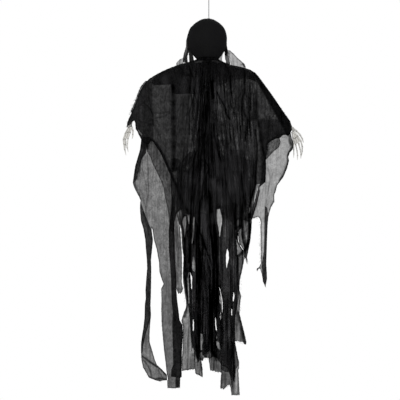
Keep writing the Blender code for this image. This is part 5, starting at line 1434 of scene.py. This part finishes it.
for body, edges in FRAYS.items():
    meshes = []
    for start, end, count, reach, depth in edges:
        for share in (np.arange(count) + made.random(count)) / count:
            c = start[0] + (end[0] - start[0]) * share
            r = start[1] + (end[1] - start[1]) * share
            dc, dr = np.array(reach) * (0.35 + 0.8 * made.random())
            curl, sway = made.normal(0, 0.35, 2), made.normal(0, 0.5)
            steps = np.linspace(0, 1, THREAD_POINTS)
            columns = c + dc * steps + sway * steps**2 + curl[0] * np.sin(4 * steps) * steps
            rows = r + dr * steps + curl[1] * np.sin(3 * steps) * steps
            x, z = spot(columns, rows)
            y = depth(x[:1], z[:1]) - 0.0006 + 0.002 * made.normal() * steps
            meshes.append(tube(np.stack([x, y, z], 1).tolist(), THREAD_RADIUS, 4))
    frays = link(f"frays_{body}", joined(meshes), THREAD)
    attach(frays, body)
    "gauze" if "drape" not in body else "drape_gauze"

# ---------------------------------------------------------------- head: hood, strips, foam
CROWN_Z = -0.1344
HEAD_HEIGHT = 0.168
HEAD_WIDTH, HEAD_DEPTH = 0.152, 0.176
HEAD_X = float(spot(HEAD_COLUMN, 0)[0])
COVER_WALL = 0.0014
# How far down the head, and what share of its width and depth it has there
HEAD_SHARES = [
    (0.0, 0.06, 0.06), (0.035, 0.34, 0.36), (0.13, 0.67, 0.7), (0.25, 0.89, 0.91), (0.42, 1.00, 1.00),
    (0.62, 0.99, 0.97), (0.74, 0.92, 0.86), (0.85, 0.77, 0.7), (0.94, 0.6, 0.54), (1.00, 0.48, 0.42),
]
HEAD_FINE = smooth_points(HEAD_SHARES, 181)


def head_half(share):
    """Half the head's width and depth, a share of its height below the crown."""
    wide = float(np.interp(share, HEAD_FINE[:, 0], HEAD_FINE[:, 1]))
    deep = float(np.interp(share, HEAD_FINE[:, 0], HEAD_FINE[:, 2]))
    return wide * HEAD_WIDTH / 2, deep * HEAD_DEPTH / 2


def head_place(share, turn, outward):
    """A place on the head, turned from the face (0) towards +X, standing outward from the hood's skin."""
    wide, deep = head_half(share)
    below, above = min(1.0, share + 0.01), max(0.0, share - 0.01)
    growth = (sum(head_half(below)) - sum(head_half(above))) / 2
    lean = math.hypot(growth, (below - above) * HEAD_HEIGHT)
    side, up = outward * (below - above) * HEAD_HEIGHT / lean, outward * growth / lean
    z = CROWN_Z - share * HEAD_HEIGHT + up
    return (HEAD_X + (wide + side) * math.sin(turn), (deep + side) * math.cos(turn), z)


def head_grid(shares, turns, stand, closed):
    """A grid of places round the head and its faces."""
    places = [head_place(s, t, stand(s, t)) for s in shares for t in turns]
    return places, grid_faces(len(shares), len(turns), closed)


def thickened(thing, label, thickness):
    """Gives a surface its thickness, inward."""
    wall = thing.modifiers.new(label, "SOLIDIFY")
    wall.thickness = thickness
    wall.offset = -1.0


def hood_stand(share, turn):
    """The hood follows the foam, with a seam over its crown and slight draglines."""
    away = (turn + math.pi) % (2 * math.pi) - math.pi
    out = 0.0002 + 0.0007 * math.exp(-(((abs(away) - math.pi) / 0.035) ** 2))
    out += 0.0006 * math.sin(9 * turn + 5 * share) * math.exp(-(((share - 0.88) / 0.12) ** 2))
    out += 0.0004 * math.sin(5 * turn + 14 * share) * share
    return out


# The hood's opening for the face: how far down it starts and how far it turns to each side
FACE_SHARE = 0.25
FACE_HALF = math.radians(75)
HOOD_END = 0.985
shares = np.concatenate([np.linspace(0.012, 0.12, 9), np.linspace(0.14, HOOD_END, 56)])
turns = np.linspace(0, 2 * math.pi, 145)[:-1]
places, faces = head_grid(shares, turns, hood_stand, True)
count = len(turns)
kept = []
for f in faces:
    share = float(np.mean([shares[v // count] for v in f]))
    t = turns[f[0] % count] + math.pi / count
    facing = min(t, 2 * math.pi - t)
    if share >= FACE_SHARE and facing < FACE_HALF:
        continue
    kept.append(f)
hood_mesh = bpy.data.meshes.new("hood")
hood_mesh.from_pydata(places, [], kept)
bm = bmesh.new()
bm.from_mesh(hood_mesh)
bmesh.ops.delete(bm, geom=[v for v in bm.verts if not v.link_faces], context="VERTS")
bm.to_mesh(hood_mesh)
bm.free()
hood = link("hood", hood_mesh, HOOD)
thickened(hood, "cloth", COVER_WALL)
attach(hood, "head")
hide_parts("head_cover")

# The rolled rim of the opening: up its left edge, across the brow and down its right edge
RIM_STAND, RIM_RADIUS = 0.0010, 0.0016
rim = [(s, -FACE_HALF) for s in np.linspace(HOOD_END, FACE_SHARE, 40)[:-1]]
rim += [(FACE_SHARE, t) for t in np.linspace(-FACE_HALF, FACE_HALF, 60)]
rim += [(s, FACE_HALF) for s in np.linspace(FACE_SHARE, HOOD_END, 40)[1:]]
rim_places = [head_place(float(s), float(t), RIM_STAND) for s, t in rim]
hood_rim = link("hood_rim", tube(rim_places, RIM_RADIUS, 8), HOOD)
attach(hood_rim, "head")

# ---------------------------------------------------------------- skull mask
BROW_STAND, SOCKET_DEPTH, NOSE_DEPTH = 0.0110, 0.0125, 0.0100
CHEEK_RISE, JAW_RISE, TOOTH_RISE = 0.0060, 0.0065, 0.0022
MASK_WALL = 0.0030
TEETH = 8


def mask_relief(share, turn):
    """How far the skull mask stands out: brow, sockets, nose, cheekbones, teeth and jaw; and its stain."""
    side = abs(turn)

    def bump(at, wide, row, tall):
        across = (side - math.radians(at)) / math.radians(wide)
        return math.exp(-(across**2) - ((share - row) / tall) ** 2)

    socket = bump(24, 12, 0.49, 0.072)
    nose = bump(4, 6.5, 0.655, 0.050)
    out = BROW_STAND * (0.55 + 0.45 * math.cos(min(side * 1.2, math.pi / 2)))
    out += 0.35 * BROW_STAND * bump(20, 20, 0.37, 0.05)
    out -= SOCKET_DEPTH * socket**0.7
    out -= NOSE_DEPTH * nose
    out += 0.5 * CHEEK_RISE * bump(0, 5, 0.555, 0.05)
    out += CHEEK_RISE * bump(42, 14, 0.62, 0.05)
    hollow = bump(46, 15, 0.76, 0.07)
    out -= CHEEK_RISE * hollow
    out += JAW_RISE * bump(0, 24, 0.82, 0.10)
    out += JAW_RISE * 0.8 * bump(0, 22, 0.97, 0.05)
    stain = 1.15 * socket + 1.2 * nose + 0.35 * hollow
    if side < math.radians(30):
        tooth = abs(math.sin(turn / math.radians(60) * math.pi * TEETH))
        row = math.exp(-(((share - 0.835) / 0.050) ** 4))
        bite = math.exp(-(((share - 0.838) / 0.009) ** 2))
        out += TOOTH_RISE * (tooth - 0.4) * row
        out -= TOOTH_RISE * 1.4 * bite
        stain += row * 0.75 * (1 - tooth) ** 2 + 0.8 * bite
    if share < 0.42:
        crack = math.exp(-(((turn - 0.42 - 0.5 * (share - 0.3) - 0.03 * math.sin(60 * share)) / 0.012) ** 2))
        out -= 0.0010 * crack
        stain += 0.6 * crack
    return max(out, MASK_WALL), stain


MASK_HALF = math.radians(70)
mask_shares = np.linspace(FACE_SHARE + 0.0012 / HEAD_HEIGHT, 0.945, 130)
mask_turns = np.linspace(-MASK_HALF, MASK_HALF, 150)


def mask_stand(share, turn):
    """How far the mask's outer side stands from the hood's skin: as thin as its wall at its edges."""
    edge = min(1.0, 5 * (1 - abs(turn) / MASK_HALF)) * min(
        1.0, 5 * (share - mask_shares[0]) / (mask_shares[-1] - mask_shares[0]))
    stand = MASK_WALL + (mask_relief(share, turn)[0] - MASK_WALL) * math.sqrt(max(edge, 0.0))
    return 0.0003 - COVER_WALL + stand


places, faces = head_grid(mask_shares, mask_turns, mask_stand, False)
mask_mesh = bpy.data.meshes.new("mask")
mask_mesh.from_pydata(places, [], [f[::-1] for f in faces])
paint(mask_mesh, "stain", [mask_relief(s, t)[1] for s in mask_shares for t in mask_turns])
mask = link("skull_face", mask_mesh, BONE)
thickened(mask, "shell", MASK_WALL * 0.8)
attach(mask, "head")
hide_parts("skull_mask")

# ---------------------------------------------------------------- hood strips and flaps
# Name, the node that it stands for, y, material, how dense its hem and all of it are, and outline
STRIPS = [
    ("strip_left_outer", "hood_strip_left_outer", -0.012, CAPE_GAUZE, 0.5, 0.12,
     [(192.4, 26.2), (190.6, 27.4), (188.8, 31), (187.3, 36), (186.1, 41), (186.0, 46), (185.2, 49.6), (184, 53),
      (183.2, 57), (182.6, 62.6), (187.4, 62.6), (187.2, 58), (187.8, 54), (188.6, 50), (189.6, 44), (190.2, 38),
      (191, 32), (193.4, 28)]),
    ("strip_left_under", None, -0.006, GAUZE, 0.3, 0.3,
     [(187.6, 36), (186.6, 42), (186.8, 48), (186.2, 53), (184.6, 58), (184.8, 62.4), (187.8, 62.4), (187.4, 57),
      (189.4, 50), (190, 44), (190, 37)]),
    ("strip_left_inner", "hood_strip_left_inner", -0.0014, CAPE_GAUZE, 0.7, 0.6,
     [(189.4, 40), (188.4, 46), (188.6, 51), (188.9, 55.4), (189.2, 60), (189, 63), (194.2, 62.4), (193.6, 57.8),
      (192.7, 54), (191.9, 50.4), (191.4, 46.6), (191, 42)]),
    ("strip_right", "hood_strip_right", -0.002, CAPE_GAUZE, 0.7, 0.22,
     [(225.8, 41), (225.2, 46), (224.4, 50), (224.6, 54), (225, 58), (226, 62.6), (229, 65.2), (230.2, 64.6),
      (229.6, 60), (228.8, 55.6), (228, 51.6), (227, 47), (226.8, 43)]),
    ("strip_right_inner", None, -0.004, GAUZE, 0.4, 0.6,
     [(226.4, 43), (225, 48), (224.4, 51), (225, 55), (226.8, 56.4), (227.6, 52), (227.2, 47)]),
    ("flap_left", "hood_flap_left", 0.0018, LIGHT_GAUZE, 0.25, 0.0,
     [(184, 55.6), (182.4, 58.4), (180.2, 59), (178.2, 60.8), (176.4, 63), (176, 66), (182.6, 63.8), (184.6, 60)]),
    ("veil_right", None, 0.0052, LIGHT_GAUZE, 0.4, -0.06,
     [(223.4, 50.4), (221.6, 54), (219.2, 57.6), (217.6, 60.4), (221, 62.4), (223, 62.6), (222, 59), (222.6, 55.4)]),
    ("flap_right", "hood_flap_right", -0.0018, LIGHT_GAUZE, 0.25, -0.02,
     [(227, 48), (228.2, 50.2), (230, 50.5), (234, 54), (237, 57.4), (240.2, 60.2), (243, 62.6), (244.6, 64),
      (245.6, 66.4), (246, 68.6), (239, 67.6), (231, 66), (229.8, 60), (228.8, 55)]),
]
FLAP_EDGE = [
    ([(227.6, 48.4), (230, 50.7), (234, 54.3), (240, 60.3), (244.2, 64.2)], 0.6, 0.95, 0.0),
    ([(242.8, 63.8), (244, 65.4), (244.6, 66.4)], 0.8, 1.3, 0.0),
    ([(241, 64.6), (243.6, 65)], 0.4, 0.7, 0.0),
]
for name, node_name, y, material, hem, own, outline in STRIPS:
    thing = cut(
        name, outline, lambda x, z, y=y: y + 0.0012 * np.sin(x / 0.0045) * np.clip((-0.21 - z) / 0.05, 0, 1),
        material, step=0.5, ragged=0.18, hem=hem, hem_width=0.6, seed=91 + len(SHEETS),
        dark=lambda c, r, own=own: np.maximum(along_folds(c, r, FLAP_EDGE)[0], 0) + own,
        folded=lambda c, r: np.full(len(c), 0.5), light_and_shade=lambda c, r: np.full(len(c), 0.12),
    )
    if node_name:
        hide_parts(node_name)
    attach(thing, "head")
    hung(thing)
    SHEETS.append(thing)

# ---------------------------------------------------------------- skeleton hands
# Digits: column, row and y of the ends of each bone, wrist first
LEFT_DIGITS = [
    ([(131.0, 127.0, -0.004), (130.0, 132.6, -0.014), (127.9, 138.6, -0.019), (127.5, 143.4, -0.020),
      (127.5, 147.8, -0.017), (128.3, 152.2, -0.012)], 1.16),
    ([(130.0, 126.8, 0.000), (127.6, 132.6, -0.006), (125.4, 139.4, -0.010), (124.8, 144.4, -0.009),
      (124.9, 149.6, -0.005), (126.0, 155.4, 0.002)], 1.22),
    ([(129.0, 127.0, 0.004), (125.6, 133, 0.006), (123.4, 139.2, 0.008), (123.7, 143.8, 0.012),
      (124.3, 148.4, 0.016), (125.4, 153.4, 0.019)], 1.22),
    ([(129.4, 127.2, 0.007), (127.0, 132.6, 0.014), (125.0, 137.6, 0.020), (125.5, 141.4, 0.023),
      (125.9, 144.8, 0.024), (126.2, 148.6, 0.0235)], 1.06),
    ([(131.8, 127.0, -0.004), (132.8, 130.8, -0.011), (132.9, 134.6, -0.017), (132.3, 139.0, -0.021)], 1.1),
]
RIGHT_DIGITS = [
    ([(292.4, 127.8, 0.004), (296.4, 130.8, 0.011), (300.2, 134.8, 0.019), (302.4, 138.4, 0.025),
      (303.8, 142.6, 0.029)], 1.22),
    ([(293.0, 130.6, 0.002), (297.6, 135.8, 0.006), (301.0, 140.8, 0.012), (302.4, 146.2, 0.018),
      (302.4, 151.2, 0.024), (301.7, 155.8, 0.030)], 1.26),
    ([(292.8, 131.2, 0.000), (295.8, 137.6, 0.000), (298.8, 143.6, 0.002), (300.4, 149.6, 0.008),
      (301.1, 154.2, 0.014), (301.0, 158.8, 0.020)], 1.26),
    ([(292.6, 131.6, -0.003), (294.3, 138.8, -0.006), (295.7, 144.6, -0.007), (297.0, 150.4, -0.004),
      (297.6, 155.2, 0.002), (297.4, 160.0, 0.009)], 1.20),
    ([(292.3, 131.8, -0.006), (293.0, 138.2, -0.010), (293.6, 144.2, -0.0125), (293.7, 149.8, -0.0125),
      (293.8, 153.8, -0.010), (293.6, 158.0, -0.006)], 1.06),
]
BONE_RADIUS = 0.0036
BONE_END = 0.07
# How many bones of each finger the web reaches along, and its rows
WEB_REACH, WEB_ROWS = 1.9, 13
RINGS, SIDES = 18, 12


def bone(start, end, first, last, tip, seed):
    """One bone, wide at both ends and waisted, its ends rounded; a claw's is pointed. Gives places, faces, stain."""
    start, end = np.array(start), np.array(end)
    along = (end - start) / np.linalg.norm(end - start)
    side = np.cross(along, (0.3, 1.0, 0.1))
    side /= np.linalg.norm(side)
    other = np.cross(along, side)
    places, stain = [], []
    made = np.random.default_rng(seed)
    bumps = made.random(3) * 6
    for t in np.linspace(0, 1, RINGS):
        middle = 0.80 + 0.30 * math.exp(-((t / 0.15) ** 2))
        middle += 0.0 if tip else 0.24 * math.exp(-(((1 - t) / 0.14) ** 2))
        size = first + (last - first) * t
        if tip:
            size *= 1 - 0.60 * t**2
        rounding = math.prod(math.sqrt(max(0.0, 1 - max(0.0, 1 - near / BONE_END) ** 2)) for near in (t, 1 - t))
        size *= middle * (0.35 + 0.65 * rounding)
        for k in range(SIDES):
            turn = 2 * math.pi * k / SIDES
            lump = 1 + 0.07 * math.sin(2 * turn + bumps[0]) + 0.05 * math.sin(3 * turn + 5 * t + bumps[1])
            outward = math.cos(turn) * side + 0.9 * math.sin(turn) * other
            places.append(start + (end - start) * t + size * lump * outward)
            seam = math.exp(-((t / BONE_END) ** 2)) + (0 if tip else math.exp(-(((1 - t) / BONE_END) ** 2)))
            groove = 0.30 * max(0.0, math.sin(turn + bumps[2])) ** 3 * math.exp(-(((t - 0.5) / 0.3) ** 2))
            stain.append(0.95 * seam + groove + 0.22 * (1 - middle) + (0.15 * t if tip else 0))
    faces = [(i * SIDES + k, i * SIDES + (k + 1) % SIDES, (i + 1) * SIDES + (k + 1) % SIDES, (i + 1) * SIDES + k)
             for i in range(RINGS - 1) for k in range(SIDES)]
    faces += [tuple(range(SIDES))[::-1], tuple(range((RINGS - 1) * SIDES, RINGS * SIDES))]
    return places, faces, stain


def hand(name, digits, wrist, sleeve_end, node_name):
    """A moulded skeleton hand: wrist bones, hand bones and finger bones, with a thin web moulded between them."""
    places, faces, stain = [], [], []

    def add(part):
        base = len(places)
        places.extend(part[0])
        faces.extend(tuple(base + v for v in f) for f in part[1])
        stain.extend(part[2])

    def metres(p):
        x, z = spot(p[0], p[1])
        return float(x), p[2], float(z)

    for d, (row, size) in enumerate(digits):
        count = len(row) - 1
        for k, (a, b) in enumerate(zip(row, row[1:])):
            first = BONE_RADIUS * size * (1.12 - 0.13 * k)
            last = BONE_RADIUS * size * (1.12 - 0.13 * (k + 1))
            add(bone(metres(a), metres(b), first, last, k == count - 1, 100 * d + k))
    # wrist bones
    for k, (dc, dr, y, size) in enumerate((
        (-1.2, 0.2, -0.004, 0.0034), (0.0, -0.3, -0.002, 0.0036), (1.1, 0.3, 0.001, 0.0033),
        (-0.6, 1.5, 0.003, 0.0035), (0.6, 1.6, -0.003, 0.0035), (-1.5, 1.6, 0.006, 0.0030), (0.2, 0.6, 0.006, 0.0034),
    )):
        centre = np.array(metres((wrist[0] + dc, wrist[1] + dr, y)))
        add(bone(centre - (0, 0, size), centre + (0, 0, size), size, size, False, 900 + k))
    # the two arm bones that go up into the sleeve
    for k, dc in enumerate((-0.7, 0.7)):
        add(bone(metres((sleeve_end[0] + dc, sleeve_end[1], 0.003 * (2 * k - 1))),
                 metres((wrist[0] + dc, wrist[1], 0.003 * (2 * k - 1))), 0.0030, 0.0036, False, 950 + k))
    # web between neighbouring hand bones
    palm = digits[:4] if name == "left" else digits[1:]
    for a, b in zip(palm, palm[1:]):
        base = len(places)
        rows = [[np.array(metres(p)) for p in digit[0]] for digit in (a, b)]
        for share in np.linspace(0.05, WEB_REACH, WEB_ROWS):
            k = int(share)
            pa, pb = (row[k] * (1 - share + k) + row[k + 1] * (share - k) for row in rows)
            for mix in (0.0, 0.5, 1.0):
                places.append(pa + (pb - pa) * mix + (0, 0.0012 * math.sin(math.pi * mix), 0))
                stain.append(0.30)
        faces.extend((base + 3 * i + j, base + 3 * i + j + 1, base + 3 * i + j + 4, base + 3 * i + j + 3)
                     for i in range(WEB_ROWS - 1) for j in range(2))
    mesh = bpy.data.meshes.new(name)
    mesh.from_pydata([tuple(p) for p in places], [], faces)
    mesh.update()
    paint(mesh, "stain", stain)
    thing = link(f"{name}_hand_bones", mesh, BONE)
    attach(thing, node_name)
    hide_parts(node_name)


hand("left", LEFT_DIGITS, (130.3, 126.0), (131.4, 121.0), "left_hand")
hand("right", RIGHT_DIGITS, (292.0, 128.4), (289.6, 124.0), "right_hand")

# ---------------------------------------------------------------- collar
COLLAR_TOP, COLLAR_HEIGHT, COLLAR_RADIUS = -0.3054, 0.026, 0.030
COLLAR_GIRTH = 0.19
COLLAR_RINGS, COLLAR_SIDES = 22, 180
places = []
for share in np.linspace(0, 1, COLLAR_RINGS):
    waist = math.exp(-(((share - 0.5) / 0.16) ** 2))
    wide = 0.80 + 0.20 * share - 0.20 * waist
    for s in range(COLLAR_SIDES):
        t = 2 * math.pi * s / COLLAR_SIDES
        ruffle = 0.0026 * (1 - waist) * (math.cos(10 * t + 1.2 * math.sin(3 * t)) + 0.35 * math.cos(27 * t))
        radius = COLLAR_RADIUS * wide + ruffle + 0.0004 * waist * math.cos(40 * t)
        places.append((radius * math.cos(t), radius * math.sin(t), COLLAR_TOP - share * COLLAR_HEIGHT))
collar_mesh = bpy.data.meshes.new("collar")
collar_mesh.from_pydata(places, [], grid_faces(COLLAR_RINGS, COLLAR_SIDES))
collar_mesh.update()
# The collar is denser cloth, its colour darkened a little as painted shade
paint(collar_mesh, "thick_and_shade", np.full(len(collar_mesh.vertices), 0.2))
around = np.tile(np.arange(COLLAR_SIDES) / COLLAR_SIDES * COLLAR_GIRTH, COLLAR_RINGS)
height = np.repeat(np.linspace(0, COLLAR_HEIGHT, COLLAR_RINGS), COLLAR_SIDES)
for label in ("flat", "folds"):
    paint_map(collar_mesh, label, np.stack([around, height], 1))
collar = link("collar", collar_mesh, GAUZE)
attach(collar, "torso")
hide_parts("neck_gather")

# ---------------------------------------------------------------- CAD nodes that stay in sight
for name, material in (
    ("head_core", FOAM), ("hanging_eye", STEEL), ("shoulder_wire", STEEL), ("left_arm_wire", STEEL),
    ("right_arm_wire", STEEL), ("neck_post", PLASTIC), ("neck_tie", TIE),
):
    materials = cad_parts[name].data.materials
    materials.clear()
    materials.append(material)

# ---------------------------------------------------------------- light and backdrop
world = bpy.data.worlds.new("world")
bpy.context.scene.world = world
world.use_nodes = True
tree = world.node_tree
tree.nodes.clear()
paths = node(tree, "ShaderNodeLightPath")
seen = maths(tree, "MAXIMUM", paths.outputs["Is Camera Ray"], paths.outputs["Is Transmission Ray"])
white = node(tree, "ShaderNodeBackground", {"Color": (1, 1, 1, 1), "Strength": 1.0})
soft = node(tree, "ShaderNodeBackground", {"Color": (0.95, 0.97, 1.0, 1), "Strength": 0.55})
mixed = node(tree, "ShaderNodeMixShader", {0: seen, 1: soft.outputs[0], 2: white.outputs[0]})
node(tree, "ShaderNodeOutputWorld", {"Surface": mixed.outputs[0]})

FLOOR_Z, FLOOR_RADIUS = -1.95, 1.45
floor_mesh = bpy.data.meshes.new("floor")
bm = bmesh.new()
bmesh.ops.create_circle(bm, cap_ends=True, segments=96, radius=FLOOR_RADIUS)
bm.to_mesh(floor_mesh)
bm.free()
floor_material, tree, shader = new_material("floor_paper")
grain = noise(tree, object_place(tree), 40.0)
coat(tree, shader, grain, [(0.3, 0.80), (0.7, 0.84)], grain, [(0.3, 0.8), (0.7, 0.9)])
floor = link("floor", floor_mesh, floor_material, smooth=False)
floor.location = (0, 0, FLOOR_Z)


def lamp(name, place, target, size, watts):
    data = bpy.data.lights.new(name, "AREA")
    data.shape = "DISK"
    data.size = size
    data.energy = watts
    thing = bpy.data.objects.new(name, data)
    thing.location = place
    thing.rotation_euler = (Vector(target) - Vector(place)).to_track_quat("-Z", "Y").to_euler()
    bpy.context.scene.collection.objects.link(thing)


lamp("key", (-2.2, -3.4, 0.9), (0, 0, -0.8), 1.6, 120)
lamp("fill", (2.6, -3.0, 0.2), (0, 0, -0.8), 2.0, 70)
lamp("rear", (0.4, 3.6, 0.8), (0, 0, -0.7), 1.8, 90)

bpy.context.scene.view_settings.view_transform = "Standard"
